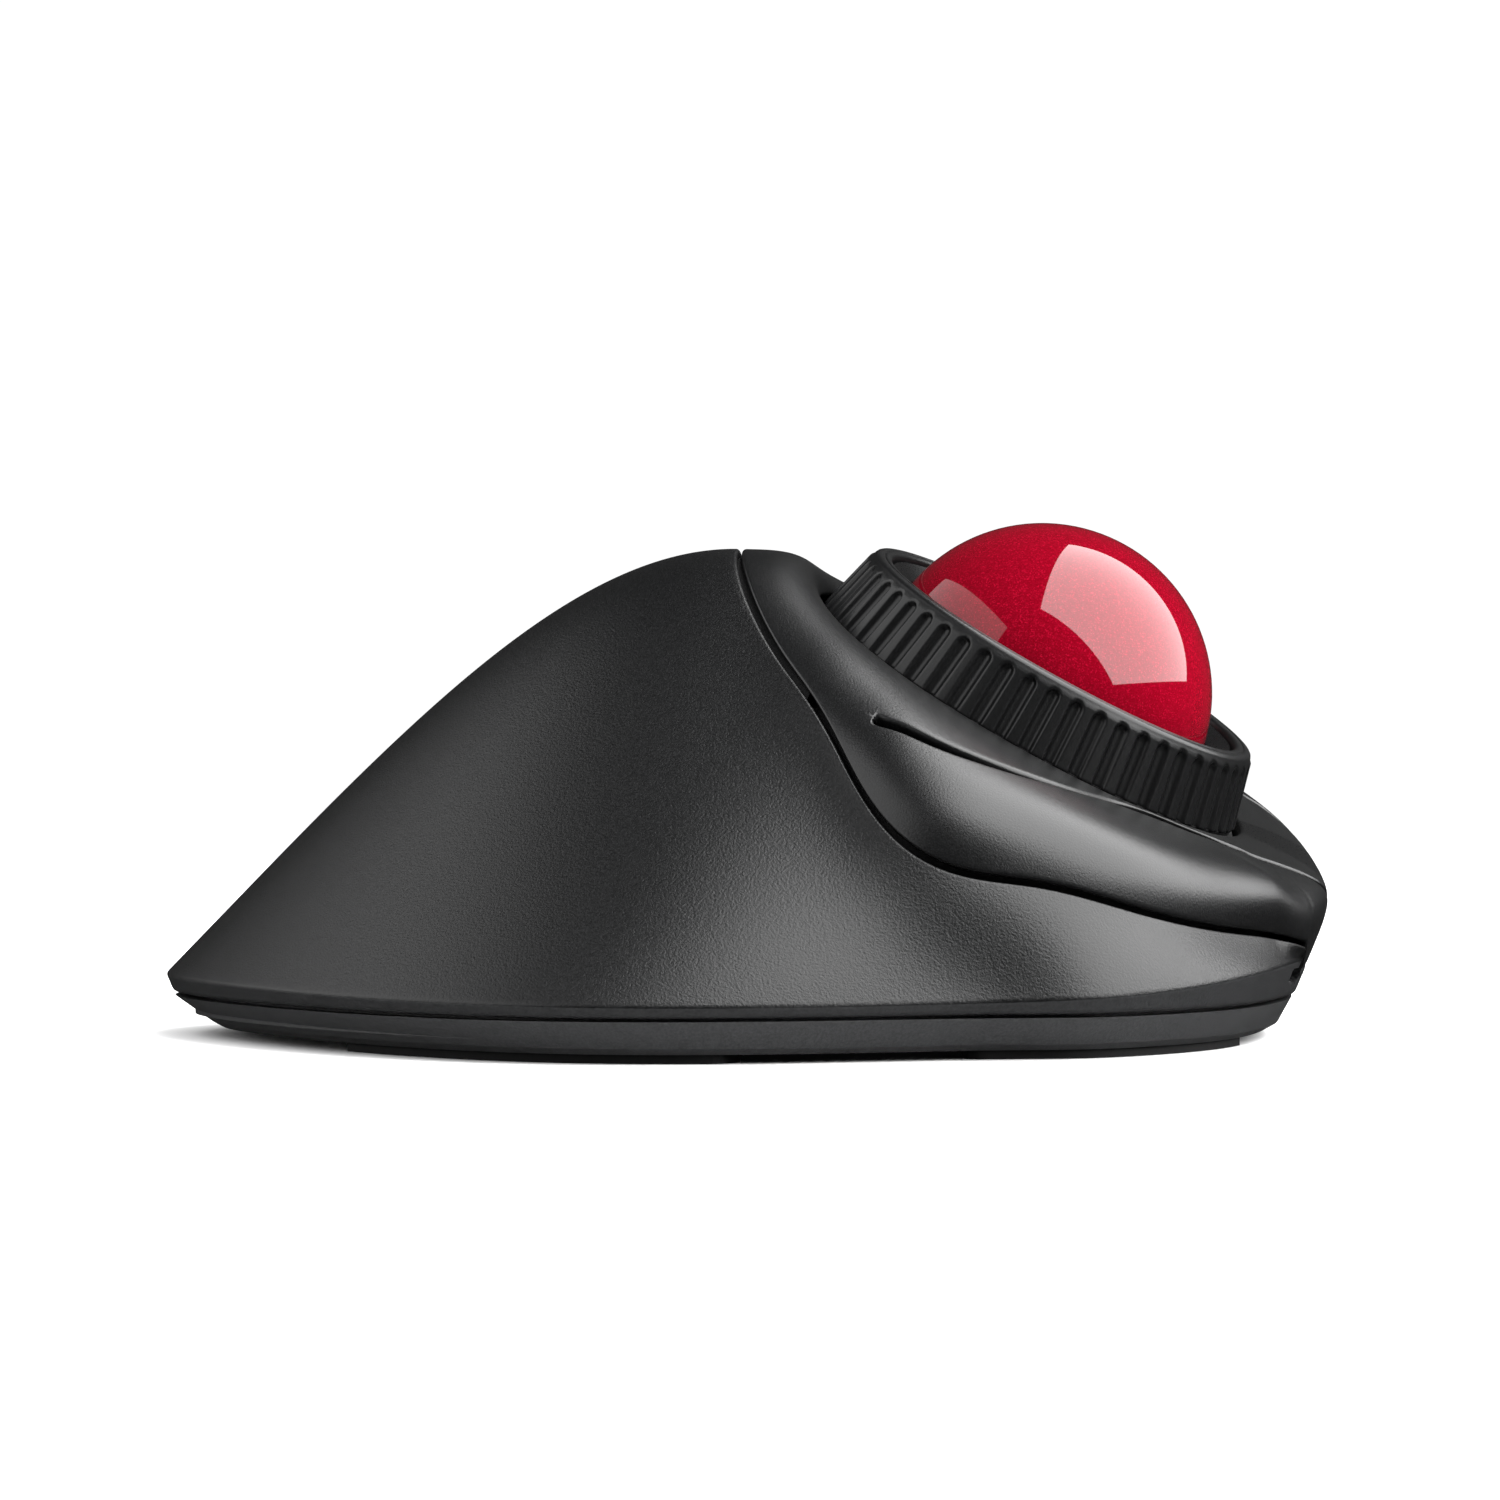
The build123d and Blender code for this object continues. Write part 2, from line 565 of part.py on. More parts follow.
def encoder_comb():
    """The slotted skirt that clips under the ring and turns with it."""
    comb = turned([(RING_BORE_R, -5.92), (24.9, -5.92), (24.9, -10.0), (23.9, -10.0), (23.9, -6.9), (RING_BORE_R, -6.9)])
    slots = [Plane(origin=ring_spot(24.4, -9.0, 9.0 * i), x_dir=ring_spot(1, 0, 9.0 * i) - BALL_CENTRE, z_dir=AXIS)
             * Box(3, 1.6, 2.2) for i in range(40)]
    return comb - slots


def ball_housing():
    seat = turned([(24.1, -4.0), (27.8, -4.0), (27.8, -5.6), (27.1, -5.6), (27.1, -12.0), (25.6, -12.0), (25.6, -5.6),
                   (24.1, -5.6)])
    for angle in LEG_ANGLES:
        spot = leg_spot(angle)
        seat += upright(spot.X, spot.Y, 3.3, spot.Z, LEG_R)
    seat -= turned([(0, -4.5), (25.6, -4.5), (25.6, -11.9), (27.1, -12.0), (27.1, -30), (0, -30)]) & turned(
        [(0, -5.6), (25.6, -5.6), (25.6, -14.0), (0, -14.0)])
    for angle in (LEG_ANGLES[0], LEG_ANGLES[3]):
        spot = leg_spot(angle)
        seat -= upright(spot.X, spot.Y, 3.0, 14.0, SCREW_R)
    return seat


def ring_glide():
    return turned([(25.9, -3.95), (27.2, -3.95), (27.2, RING_BOTTOM_H - 0.12), (25.9, RING_BOTTOM_H - 0.12)])


BEARING_R = 1.25
BEARINGS = [unit((cos(radians(a)) * 0.72, sin(radians(a)) * 0.72, -0.69)) for a in (60, 180, 300)]
SENSOR_WAY = unit((-0.55, -0.25, -0.80))


def tilted(way):
    """A direction given in the ring's frame, in the row's frame."""
    return ACROSS * way.X + ALONG * way.Y + AXIS * way.Z


def ball_cup():
    inner, outer = 20.6, 22.2
    cup = Pos(*BALL_CENTRE) * Sphere(outer)
    cup -= turned([(0, 1.0), (30, 1.0), (30, 30), (0, 30)])
    cup += turned([(18.2, -13.6), (26.9, -13.6), (26.9, -12.05), (18.2, -12.05)])
    for way in BEARINGS:
        way = tilted(way)
        cup += rod(BALL_CENTRE + way * (inner + 0.3), BALL_CENTRE + way * 24.2, 2.6)
    cup += rod(BALL_CENTRE + SENSOR_WAY * (inner + 0.6), BALL_CENTRE + SENSOR_WAY * 23.4, 5.4)
    cup -= Pos(*BALL_CENTRE) * Sphere(inner)
    for way in BEARINGS:
        way = tilted(way)
        cup -= rod(BALL_CENTRE + way * 18, BALL_CENTRE + way * (BALL_RADIUS + 2 * BEARING_R + 0.12), BEARING_R + 0.05)
    cup -= rod(BALL_CENTRE, BALL_CENTRE + SENSOR_WAY * 30, 3.4)
    for angle in LEG_ANGLES:
        spot = leg_spot(angle)
        cup -= upright(spot.X, spot.Y, 3.0, spot.Z - 2, LEG_R + 0.3)
    return cup - upright(BALL_CENTRE.X, BALL_CENTRE.Y, 5, 30, 7.5)


def ball_bezel():
    return turned([(22.45, 5.0), (20.5, 3.5), (20.75, 1.1), (22.45, 1.1)])


def sensor_stack():
    """Lens, chip and board in line below the ball."""
    def disc(near, far, radius):
        return rod(BALL_CENTRE + SENSOR_WAY * near, BALL_CENTRE + SENSOR_WAY * far, radius)

    frame = Plane(origin=BALL_CENTRE + SENSOR_WAY * 26.0, x_dir=(0, 1, 0), z_dir=SENSOR_WAY)
    lens = disc(21.4, 23.5, 3.3) + disc(23.5, 24.3, 5.2)
    chip = frame * Pos(0, 0, -0.35) * Box(8, 8, 2.5)
    board = frame * Pos(0, 0, 1.55) * Box(15, 13, 1.2)
    return {"sensor_lens": lens, "sensor_chip": chip, "sensor_board": board}


# ---------------------------------------------------------------- inside
def microswitch(x, y, top):
    """Body and plunger of a switch whose plunger top is at this height."""
    body = block(x - 6.4, x + 6.4, y - 2.9, y + 2.9, top - 1.0 - SWITCH_H, top - 1.0)
    hole = upright(x, y, top - 3.2, top, 1.3)
    return body - hole, upright(x, y, top - 2.4, top, 0.9)


def switch_board(x, y, top):
    """The small board under a microswitch, on two posts."""
    under = top - 1.0 - SWITCH_H - 0.02
    plate = block(x - 8, x + 8, y - 3.2, y + 3.6, under - 1.2, under)
    return plate, [upright(x + dx, y, FLOOR_TOP + 0.02, under - 1.22, 1.6) for dx in (-5.5, 4.5)]


def side_switch(name):
    """Tactile switch behind a side button: body and stem."""
    tip, face, back = (side_spot(name, r) for r in (SIDE_STEM_RHO - 0.1, SIDE_STEM_RHO - 1.0, SIDE_STEM_RHO - 4.4))
    middle = (face + back) * 0.5
    frame = Plane(origin=middle, x_dir=(0, 0, 1), z_dir=SIDE_AXIS)
    body = frame * Box(6, 6, 3.4)
    stem_end = side_spot(name, SIDE_STEM_RHO - 2.4)
    body -= rod(side_spot(name, SIDE_STEM_RHO - 3.2), tip, 1.25)
    return body, rod(stem_end, tip, 1.0)


def side_switch_board():
    a, b = (side_spot(n, SIDE_STEM_RHO - 5.05) for n in SIDE_SPOTS)
    middle = (a + b) * 0.5
    frame = Plane(origin=middle, x_dir=(0, 0, 1), z_dir=SIDE_AXIS)
    return frame * Box(10, 26, 1.2)


BATTERY_X, BATTERY_Z, BATTERY_Y0 = -24.5, 10.4, -22.0
BATTERY_R, BATTERY_LENGTH = 7.1, 49.5


def along_y(x, z, y0, y1, radius):
    return rod(Vector(x, y0, z), Vector(x, y1, z), radius)


def battery_tray():
    x0, x1, y0, y1 = DOOR
    shell = block(x0 - 1.4, x1 + 1.4, y0 - 1.4, y1 + 1.4, FLOOR_TOP + 0.02, 19.0)
    shell = chamfer(shell.faces().sort_by(Axis.Z)[-1].edges(), 1.8)
    return shell - block(x0 - 0.1, x1 + 0.1, y0, y1, 0, 17.7)


def coil(radius, wire, pitch, height):
    path = Edge.make_helix(pitch, height, radius)
    section = Plane(origin=path @ 0, z_dir=path % 0) * Circle(wire)
    return sweep(section, path=path, transition=Transition.RIGHT)


def battery_parts():
    end = BATTERY_Y0 + BATTERY_LENGTH
    spring = Plane(origin=(BATTERY_X, DOOR[2] + 1.15, BATTERY_Z), z_dir=(0, 1, 0)) * coil(3.0, 0.4, 1.6, 5.1)
    return {
        "battery_cell": along_y(BATTERY_X, BATTERY_Z, BATTERY_Y0, end, BATTERY_R),
        "battery_terminal": along_y(BATTERY_X, BATTERY_Z, end, end + 1.0, 2.7),
        "battery_spring": spring,
        "contact_plates": [block(BATTERY_X - 5, BATTERY_X + 5, y, y + 0.5, BATTERY_Z - 5, BATTERY_Z + 5)
                           for y in (DOOR[2] + 0.05, end + 1.05)],
    }


def battery_door():
    x0, x1, y0, y1 = DOOR
    plate = block(x0 + 0.4, x1 - 0.4, y0 + 0.5, y1 - 0.5, FOOT_HEIGHT, FOOT_HEIGHT + 1.6)
    grip = [block(BATTERY_X - 5, BATTERY_X + 5, y0 + 5 + 2 * i, y0 + 5.9 + 2 * i, 0, FOOT_HEIGHT + 0.5)
            for i in range(3)]
    catch = block(BATTERY_X - 4, BATTERY_X + 4, y0 + 0.5, y0 + 1.7, FOOT_HEIGHT + 1.5, 5.0)
    return plate - grip + catch


def receiver_parts():
    x0, x1, y0, y1 = RECEIVER_BAY
    middle = (x0 + x1) / 2
    body = block(x0 + 0.4, x1 - 0.4, y0 + 0.4, y0 + 7.4, 1.1, 6.4)
    shell = block(middle - 6, middle + 6, y0 + 7.42, y1 - 0.5, 1.5, 6.0)
    shell -= block(middle - 5.7, middle + 5.7, y0 + 7.0, y1, 1.8, 5.7)
    insert = block(middle - 5.6, middle + 5.6, y0 + 7.42, y1 - 1.0, 1.9, 3.6)
    return {"receiver_body": body, "receiver_plug": shell, "receiver_insert": insert}


def power_parts():
    x, y = POWER_AT
    knob = block(x - 1.4, x + 1.4, y - 3.7, y - 0.2, 1.3, FLOOR_TOP + 0.1)
    knob += block(x - 3, x + 3, y - 6.0, y + 1.0, FLOOR_TOP + 0.05, FLOOR_TOP + 0.7)
    return {"power_slider": knob, "power_switch": block(x - 2, x + 2, y - 4.5, y + 4.5, 4.0, BOARD[4] - 0.02)}


def dpi_parts():
    x, y = DPI_AT
    cap = upright(x, y, 1.2, FLOOR_TOP + 0.1, 2.9) + upright(x, y, FLOOR_TOP + 0.05, FLOOR_TOP + 0.6, 4.2)
    switch = block(x - 3, x + 3, y - 3, y + 3, 4.6, BOARD[4] - 0.02)
    return {"speed_button": cap, "speed_switch": switch}


def board_parts():
    x0, x1, y0, y1, z0, z1 = BOARD
    board = block(x0, x1, y0, y1, z0, z1)
    for angle in LEG_ANGLES:
        board -= upright(leg_spot(angle).X, leg_spot(angle).Y, z0 - 1, z1 + 1, LEG_R + 0.5)
    top = z1 + 0.02
    chips = [block(x - w / 2, x + w / 2, y - d / 2, y + d / 2, top, top + h)
             for x, y, w, d, h in ((14, 4, 7, 7, 1.0), (9, -12, 3.2, 5, 1.0), (19, -10, 3.2, 2.5, 0.8),
                                   (18, 15, 2.0, 1.25, 0.8), (10, 16, 2.0, 1.25, 0.8), (14, 22, 4, 3, 1.4))]
    connector = block(6, 12, 28, 32, top, top + 4.0)
    return {"main_board": board, "board_chips": chips, "board_connector": connector}


def save(name, shape):
    solids = []
    for item in shape if isinstance(shape, list) else [shape]:
        solids += (Pos(CENTRE_SHIFT, 0, 0) * item).solids()
    if not solids or not all(s.is_valid for s in solids):
        print("CHECK", name, len(solids))
        return
    whole = solids[0] if len(solids) == 1 else Compound(children=solids)
    export_step(whole, f"parts/{name}.step")
    box = whole.bounding_box()
    print(f"{name:20s} solids {len(solids)} volume {whole.volume:9.1f}  z {box.min.Z:6.2f} to {box.max.Z:6.2f}")


def main():
    os.makedirs("parts", exist_ok=True)
    parts = {
        "palm_cover": palm_cover(),
        "seam_frame": seam_frame(),
        "centre_panel": centre_panel(),
        "nose_panel": nose_panel(),
        "right_button": right_button(),
        "left_button": left_button(),
        "base_case": base_case(),
        "case_screws": case_screws(),
        "trackball": Pos(*BALL_CENTRE) * Sphere(BALL_RADIUS),
        "scroll_ring": scroll_ring(),
        "encoder_comb": encoder_comb(),
        "ball_housing": ball_housing(),
        "ring_glide": ring_glide(),
        "ball_cup": ball_cup(),
        "ball_bezel": ball_bezel(),
        "side_switch_board": side_switch_board(),
        "battery_tray": battery_tray(),
        "battery_door": battery_door(),
    }
    for name in SIDE_BUTTONS:
        parts[name] = side_button(name)
        short = name.replace("_button", "")
        parts[f"{short}_switch"], parts[f"{short}_stem"] = side_switch(name)
    for side, spot in (("right", RIGHT_PRESS_AT), ("left", LEFT_PRESS_AT)):
        parts[f"{side}_switch"], parts[f"{side}_plunger"] = microswitch(*spot, PRESS_TOP[side])
        parts[f"{side}_switch_board"], parts[f"{side}_board_posts"] = switch_board(*spot, PRESS_TOP[side])
    for i, way in enumerate(BEARINGS, 1):
        spot = BALL_CENTRE + tilted(way) * (BALL_RADIUS + BEARING_R + 0.05)
        parts[f"ball_bearing_{i}"] = Pos(*spot) * Sphere(BEARING_R)
    for name, span in FEET.items():
        parts[name] = foot(*span)
    for group in (sensor_stack, battery_parts, receiver_parts, power_parts, dpi_parts, board_parts):
        parts.update(group())
    for name, shape in parts.items():
        save(name, shape)


main()
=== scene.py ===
import json
from math import atan2, cos, degrees, pi, radians, sin

import bpy
import numpy as np
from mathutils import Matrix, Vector


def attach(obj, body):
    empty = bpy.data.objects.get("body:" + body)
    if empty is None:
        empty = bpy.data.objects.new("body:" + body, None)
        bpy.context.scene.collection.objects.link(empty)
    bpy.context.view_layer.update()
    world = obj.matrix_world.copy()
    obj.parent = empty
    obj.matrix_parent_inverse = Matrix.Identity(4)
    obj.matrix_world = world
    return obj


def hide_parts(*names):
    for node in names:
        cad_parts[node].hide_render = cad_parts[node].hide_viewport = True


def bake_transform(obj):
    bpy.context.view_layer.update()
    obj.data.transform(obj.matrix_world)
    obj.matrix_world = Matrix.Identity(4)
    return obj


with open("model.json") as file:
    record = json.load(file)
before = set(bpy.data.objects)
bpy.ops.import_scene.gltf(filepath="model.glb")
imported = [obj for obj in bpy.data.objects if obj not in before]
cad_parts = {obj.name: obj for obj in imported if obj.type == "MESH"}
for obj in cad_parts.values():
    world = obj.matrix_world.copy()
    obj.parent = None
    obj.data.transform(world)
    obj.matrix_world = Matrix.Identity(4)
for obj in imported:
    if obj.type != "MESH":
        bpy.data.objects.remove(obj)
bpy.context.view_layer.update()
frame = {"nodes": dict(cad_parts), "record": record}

MM = 0.001

# ---------------------------------------------------------------- the lines of the body, in millimetres
# The body is drawn as sections that stand on a pole. Angles go round it in degrees: 0 ahead, 90 to the user's left.
POLE = (33.36, 7.62)
BALL = np.array((34.66, 6.62, 39.9))
# The ring's axis, and the two directions across it.
LEAN_FORWARD, LEAN_RIGHT = radians(28.6), radians(10.0)
AXIS = np.array((sin(LEAN_FORWARD) * cos(LEAN_RIGHT), -sin(LEAN_RIGHT), cos(LEAN_FORWARD) * cos(LEAN_RIGHT)))
ACROSS = np.cross((0, 1, 0), AXIS)
ACROSS /= np.linalg.norm(ACROSS)
ALONG = np.cross(AXIS, ACROSS)
DISH_R, DISH_H = 28.2, -2.75    # the edge of the ring's dish, about that axis
PARTING_Z, SHELL_BOTTOM, BELT_FLARE = 4.85, 5.05, 0.42
LINE_POINTS = 240


class Rail:
    """A smooth closed curve through (angle in degrees: value), as a periodic cubic spline."""

    def __init__(self, knots):
        self.at = np.array(sorted(knots), float)
        values = [knots[k] for k in sorted(knots)]
        self.value = np.array(values + values[:1], float)
        self.span = np.diff(np.append(self.at, self.at[0] + 360))
        slope = np.diff(self.value) / self.span
        count = len(self.at)
        matrix, right = np.zeros((count, count)), np.zeros(count)
        for i in range(count):
            matrix[i, i] = 2 * (self.span[i - 1] + self.span[i])
            matrix[i, i - 1] = self.span[i - 1]
            matrix[i, (i + 1) % count] = self.span[i]
            right[i] = 6 * (slope[i] - slope[i - 1])
        bend = np.linalg.solve(matrix, right)
        self.bend = np.append(bend, bend[0])

    def __call__(self, angle):
        turn = (angle - self.at[0]) % 360 + self.at[0]
        i = int(np.searchsorted(self.at, turn, side="right")) - 1
        h, a, b = self.span[i], turn - self.at[i], self.at[i] + self.span[i] - turn
        return (self.bend[i] * b**3 / (6 * h) + self.bend[i + 1] * a**3 / (6 * h)
                + (self.value[i] / h - self.bend[i] * h / 6) * b
                + (self.value[i + 1] / h - self.bend[i + 1] * h / 6) * a)


# Where each line runs: how far out from the pole, and how high.
parting_radius = Rail({0: 30.6, 22: 33.2, 45: 40.5, 70: 46.5, 95: 46.0, 120: 48.5, 145: 66.0, 160: 84.5, 170: 95.0,
                       180: 100.4, 192: 97.0, 204: 91.7, 216: 87.2, 229: 80.6, 246: 65.5, 263: 55.0, 273: 53.3,
                       283: 49.4, 297: 43.4, 317: 36.0, 335: 32.2})
crease_z = Rail({0: 8.7, 20: 8.7, 33: 9.4, 50: 8.8, 70: 7.5, 100: 6.8, 180: 7.2, 229: 6.3, 262: 6.4, 283: 7.2,
                 300: 8.4, 315: 9.1, 326: 9.2, 340: 8.7})
seam_radius = Rail({0: 31.6, 20: 34.0, 45: 41.0, 70: 45.0, 95: 44.5, 110: 45.0, 122: 42.5, 145: 37.5, 180: 34.0,
                    201: 36.4, 225: 41.3, 239: 46.2, 248: 51.0, 256: 52.5, 267: 50.2, 281: 46.1, 300: 39.8,
                    314: 37.0, 330: 34.3, 345: 32.2})
seam_z = Rail({0: 9.6, 25: 10.0, 45: 14.0, 70: 16.5, 95: 19.0, 108: 22.5, 120: 31.0, 132: 42.0, 150: 51.5,
               180: 56.9, 201: 53.6, 225: 43.0, 233: 38.7, 239: 34.3, 245: 28.7, 251: 23.6, 257: 20.6, 267: 18.9,
               281: 15.9, 300: 13.3, 314: 12.3, 330: 10.6, 345: 9.6})
# How the sections leave and arrive, as angles of fall, and how far their handles reach, as shares of the chord.
panel_rise = Rail({0: 8, 30: 14, 60: 14, 90: 8, 120: 18, 150: 42, 180: 62, 205: 50, 225: 32, 245: 12, 270: -2,
                   300: -4, 330: 0})
panel_fall = Rail({0: 124, 15: 116, 30: 108, 60: 98, 90: 90, 110: 82, 130: 52, 150: 18, 180: -2, 201: 15, 225: 45,
                   240: 62, 250: 78, 262: 88, 280: 95, 300: 105, 315: 113, 330: 121, 345: 126})
panel_reach = Rail({0: 0.78, 30: 0.70, 60: 0.55, 90: 0.45, 130: 0.40, 180: 0.55, 230: 0.40, 270: 0.45, 300: 0.54,
                    330: 0.75, 345: 0.80})
panel_pull = Rail({0: 0.59, 30: 0.53, 60: 0.45, 90: 0.42, 130: 0.35, 180: 0.45, 230: 0.35, 270: 0.42, 300: 0.47,
                   330: 0.59, 345: 0.61})
palm_start = Rail({0: 60, 30: 60, 60: 70, 90: 80, 110: 76, 130: 52, 150: 18, 180: -2, 201: 15, 225: 43, 240: 57,
                   250: 62, 262: 60, 280: 58, 300: 56, 330: 56})
palm_end = Rail({0: 60, 60: 75, 90: 80, 110: 80, 130: 70, 155: 54, 180: 46, 205: 46, 229: 46, 250: 60, 270: 70,
                 300: 66, 330: 58})
palm_reach = Rail({0: 0.3, 90: 0.33, 150: 0.28, 180: 0.245, 210: 0.28, 250: 0.33, 300: 0.33})
palm_pull = Rail({0: 0.33, 90: 0.36, 180: 0.445, 210: 0.42, 250: 0.36, 300: 0.33})
# The slit's middle, as a share of the panel's width from the dish to the seam.
slit_share = Rail({0: 0.65, 10: 0.58, 20: 0.45, 32: 0.28, 45: 0.15, 60: 0.09, 75: 0.11, 90: 0.20, 102: 0.36,
                   112: 0.52, 121: 0.62, 126: 0.66, 180: 0.68, 235: 0.68, 243: 0.66, 247: 0.57, 252: 0.51, 260: 0.465,
                   268: 0.41, 275: 0.29, 282: 0.165, 290: 0.085, 298: 0.058, 308: 0.076, 318: 0.12, 328: 0.237,
                   336: 0.365, 343: 0.53, 350: 0.65})
# Each slit runs from a hinge to the nose, and MIDDLE parts the two halves of the panel behind the ring.
RIGHT_HINGE, RIGHT_NOSE, LEFT_NOSE, LEFT_HINGE, MIDDLE = 243.3, 350.0, 10.0, 126.0, 183.0
SIDE_BUTTONS = {"forward_button": (62.0, 84.9), "back_button": (86.1, 110.0)}
SIDE_BUTTON_FROM = 0.66         # the side buttons start at this share of the panel's points
SIDE_BUTTON_GAP = 0.8           # between the side buttons and the cut-out round them, in millimetres above them
SIDE_BUTTON_ENDS = 0.8          # and in degrees before and behind them
# From the seam's middle to the skin on either side.
seam_gap = Rail({0: 0.42, 15: 0.42, 28: 0.42, 38: 0.28, 60: 0.30, 110: 0.30, 150: 0.24, 180: 0.22, 190: 0.26,
                 203: 0.42, 215: 0.46, 245: 0.42, 262: 0.32, 300: 0.24, 322: 0.26, 332: 0.42, 345: 0.42})

# Under the nose the seam drops to the belt, within NOSE_HALF of straight ahead, and the panel runs down to meet it.
NOSE_HALF, NOSE_EASE = 34.3, 3.0
NOSE_SEAM_Z, NOSE_SEAM_FALL, NOSE_SEAM_END = 9.1, 1.5, 33.0
NOSE_CREASE_DROP, NOSE_CREASE_OUT = 0.65, 0.2
# Within these degrees of straight ahead it does so, eased in over the next, ending further out and steeper by these.
RUN_DOWN_HALF, RUN_DOWN_EASE, RUN_DOWN_OUT, RUN_DOWN_TURN = 47.0, 14.0, 0.4, 10


# ---------------------------------------------------------------- sections in a vertical plane through the pole
def circle_at(radius, height, angle):
    """Where a circle about the ring's axis crosses this direction from the pole, as (rho, z)."""
    turn = angle
    for _ in range(8):
        point = BALL + AXIS * height + (ACROSS * cos(radians(turn)) + ALONG * sin(radians(turn))) * radius
        here = degrees(atan2(point[1] - POLE[1], point[0] - POLE[0]))
        turn += (angle - here + 180) % 360 - 180
    return np.hypot(point[0] - POLE[0], point[1] - POLE[1]), point[2]


def cubic(start, end, start_fall, end_fall, reach, pull):
    """Points of a cubic in (rho, z), leaving and arriving at these angles of fall."""
    chord = np.hypot(end[0] - start[0], end[1] - start[1])
    a, b = radians(start_fall), radians(end_fall)
    ends = [start, (start[0] + reach * chord * cos(a), start[1] - reach * chord * sin(a)),
            (end[0] - pull * chord * cos(b), end[1] + pull * chord * sin(b)), end]
    t = np.linspace(0, 1, LINE_POINTS)[:, None]
    p = [np.array(e)[None, :] for e in ends]
    return (1 - t)**3 * p[0] + 3 * t * (1 - t)**2 * p[1] + 3 * t * t * (1 - t) * p[2] + t**3 * p[3]


def eased(t):
    """0 to 1 with a smooth start and end."""
    t = min(1.0, max(0.0, t))
    return t * t * (3 - 2 * t)


def from_nose(angle):
    """How far this direction is from straight ahead, in degrees."""
    return abs((angle + 180) % 360 - 180)


def under_nose(angle):
    """The height of the seam under the nose, where it meets the belt."""
    return NOSE_SEAM_Z - NOSE_SEAM_FALL * min(1.0, from_nose(angle) / NOSE_SEAM_END)**2


def nose_dip(angle):
    """1 under the nose, where the seam drops to the belt, and 0 elsewhere."""
    return eased((NOSE_HALF - from_nose(angle)) / NOSE_EASE)


def seam_height(angle):
    """The height of the seam, with its dip under the nose."""
    dip = nose_dip(angle)
    return seam_z(angle) * (1 - dip) + under_nose(angle) * dip


def cut_at(points, height):
    """The points down to this height, spread over the same count again."""
    kept = points[points[:, 1] > height + 0.02]
    above, below = points[len(kept) - 1], points[min(len(kept), LINE_POINTS - 1)]
    t = (above[1] - height) / max(1e-9, above[1] - below[1])
    last = above + (below - above) * min(1.0, t)
    line = np.concatenate([kept, last[None]])
    place = np.linspace(0, len(line) - 1, LINE_POINTS)
    return np.stack([np.interp(place, np.arange(len(line)), line[:, i]) for i in (0, 1)], 1)


def panel_line(angle):
    """From the dish's edge to the seam. Round the nose it heads for the belt and is cut off at the seam."""
    start = circle_at(DISH_R, DISH_H, angle)
    plane_fall = degrees(atan2(AXIS[0] * cos(radians(angle)) + AXIS[1] * sin(radians(angle)), AXIS[2]))
    low = eased((RUN_DOWN_HALF - from_nose(angle)) / RUN_DOWN_EASE)
    end = (seam_radius(angle) + RUN_DOWN_OUT * low, seam_z(angle) * (1 - low) + under_nose(angle) * low)
    points = cubic(start, end, plane_fall - panel_rise(angle), panel_fall(angle) - RUN_DOWN_TURN * low,
                   panel_reach(angle), panel_pull(angle))
    return points if low == 0 else cut_at(points, seam_height(angle))


def crease_point(angle):
    """The crease between the palm's slope and the belt."""
    dip = nose_dip(angle)
    z = crease_z(angle) * (1 - dip) + (seam_height(angle) - NOSE_CREASE_DROP) * dip
    return parting_radius(angle) + NOSE_CREASE_OUT * dip + BELT_FLARE * (z - PARTING_Z), z


def palm_line(angle):
    """From the seam down to the crease."""
    return cubic(tuple(panel_line(angle)[-1]), crease_point(angle), palm_start(angle), palm_end(angle),
                 palm_reach(angle), palm_pull(angle))


class Line:
    """A section line measured by its length, with normals that point out of the body."""

    def __init__(self, points):
        self.points = points
        step = np.hypot(*np.diff(points, axis=0).T)
        self.far = np.append(0, np.cumsum(step))
        self.length = self.far[-1]
        tangent = np.gradient(points, axis=0)
        tangent /= np.hypot(*tangent.T)[:, None]
        self.normal = np.stack([-tangent[:, 1], tangent[:, 0]], 1)

    def at(self, far, drop=0.0):
        spot = np.stack([np.interp(far, self.far, self.points[:, i]) for i in (0, 1)], 1)
        out = np.stack([np.interp(far, self.far, self.normal[:, i]) for i in (0, 1)], 1)
        return spot - out * np.broadcast_to(drop, (len(spot),))[:, None]


def in_space(section, angle):
    """(rho, z) points in millimetres at this angle, as points in metres."""
    c, s = cos(radians(angle)), sin(radians(angle))
    return np.stack([POLE[0] + section[:, 0] * c, POLE[1] + section[:, 0] * s, section[:, 1]], 1) * MM


# ---------------------------------------------------------------- meshes from grids
JOIN_SCALE = 2e6                # points in the same half micron are one point
UNEVEN_LIMIT = 20               # the most that one step between rows counts against the next
SKIRT = 1.6                     # how deep the walls at a skin's ends are


def across_rows(grid):
    """The direction of travel along each column, allowing for uneven steps. Where rows meet in one point the next
    row's direction is used."""
    step = np.diff(grid, axis=1)
    size = np.maximum(np.linalg.norm(step, axis=2, keepdims=True), 1e-9)
    share = np.clip(size[:, :-1] / size[:, 1:], 1 / UNEVEN_LIMIT, UNEVEN_LIMIT)
    middle = share * step[:, 1:] + step[:, :-1] / share
    across = np.concatenate([step[:, :1], middle, step[:, -1:]], 1)
    thin = np.linalg.norm(across, axis=2) < 1e-8
    for i in range(grid.shape[1] - 2, -1, -1):
        across[thin[:, i], i] = across[thin[:, i], i + 1]
    return across


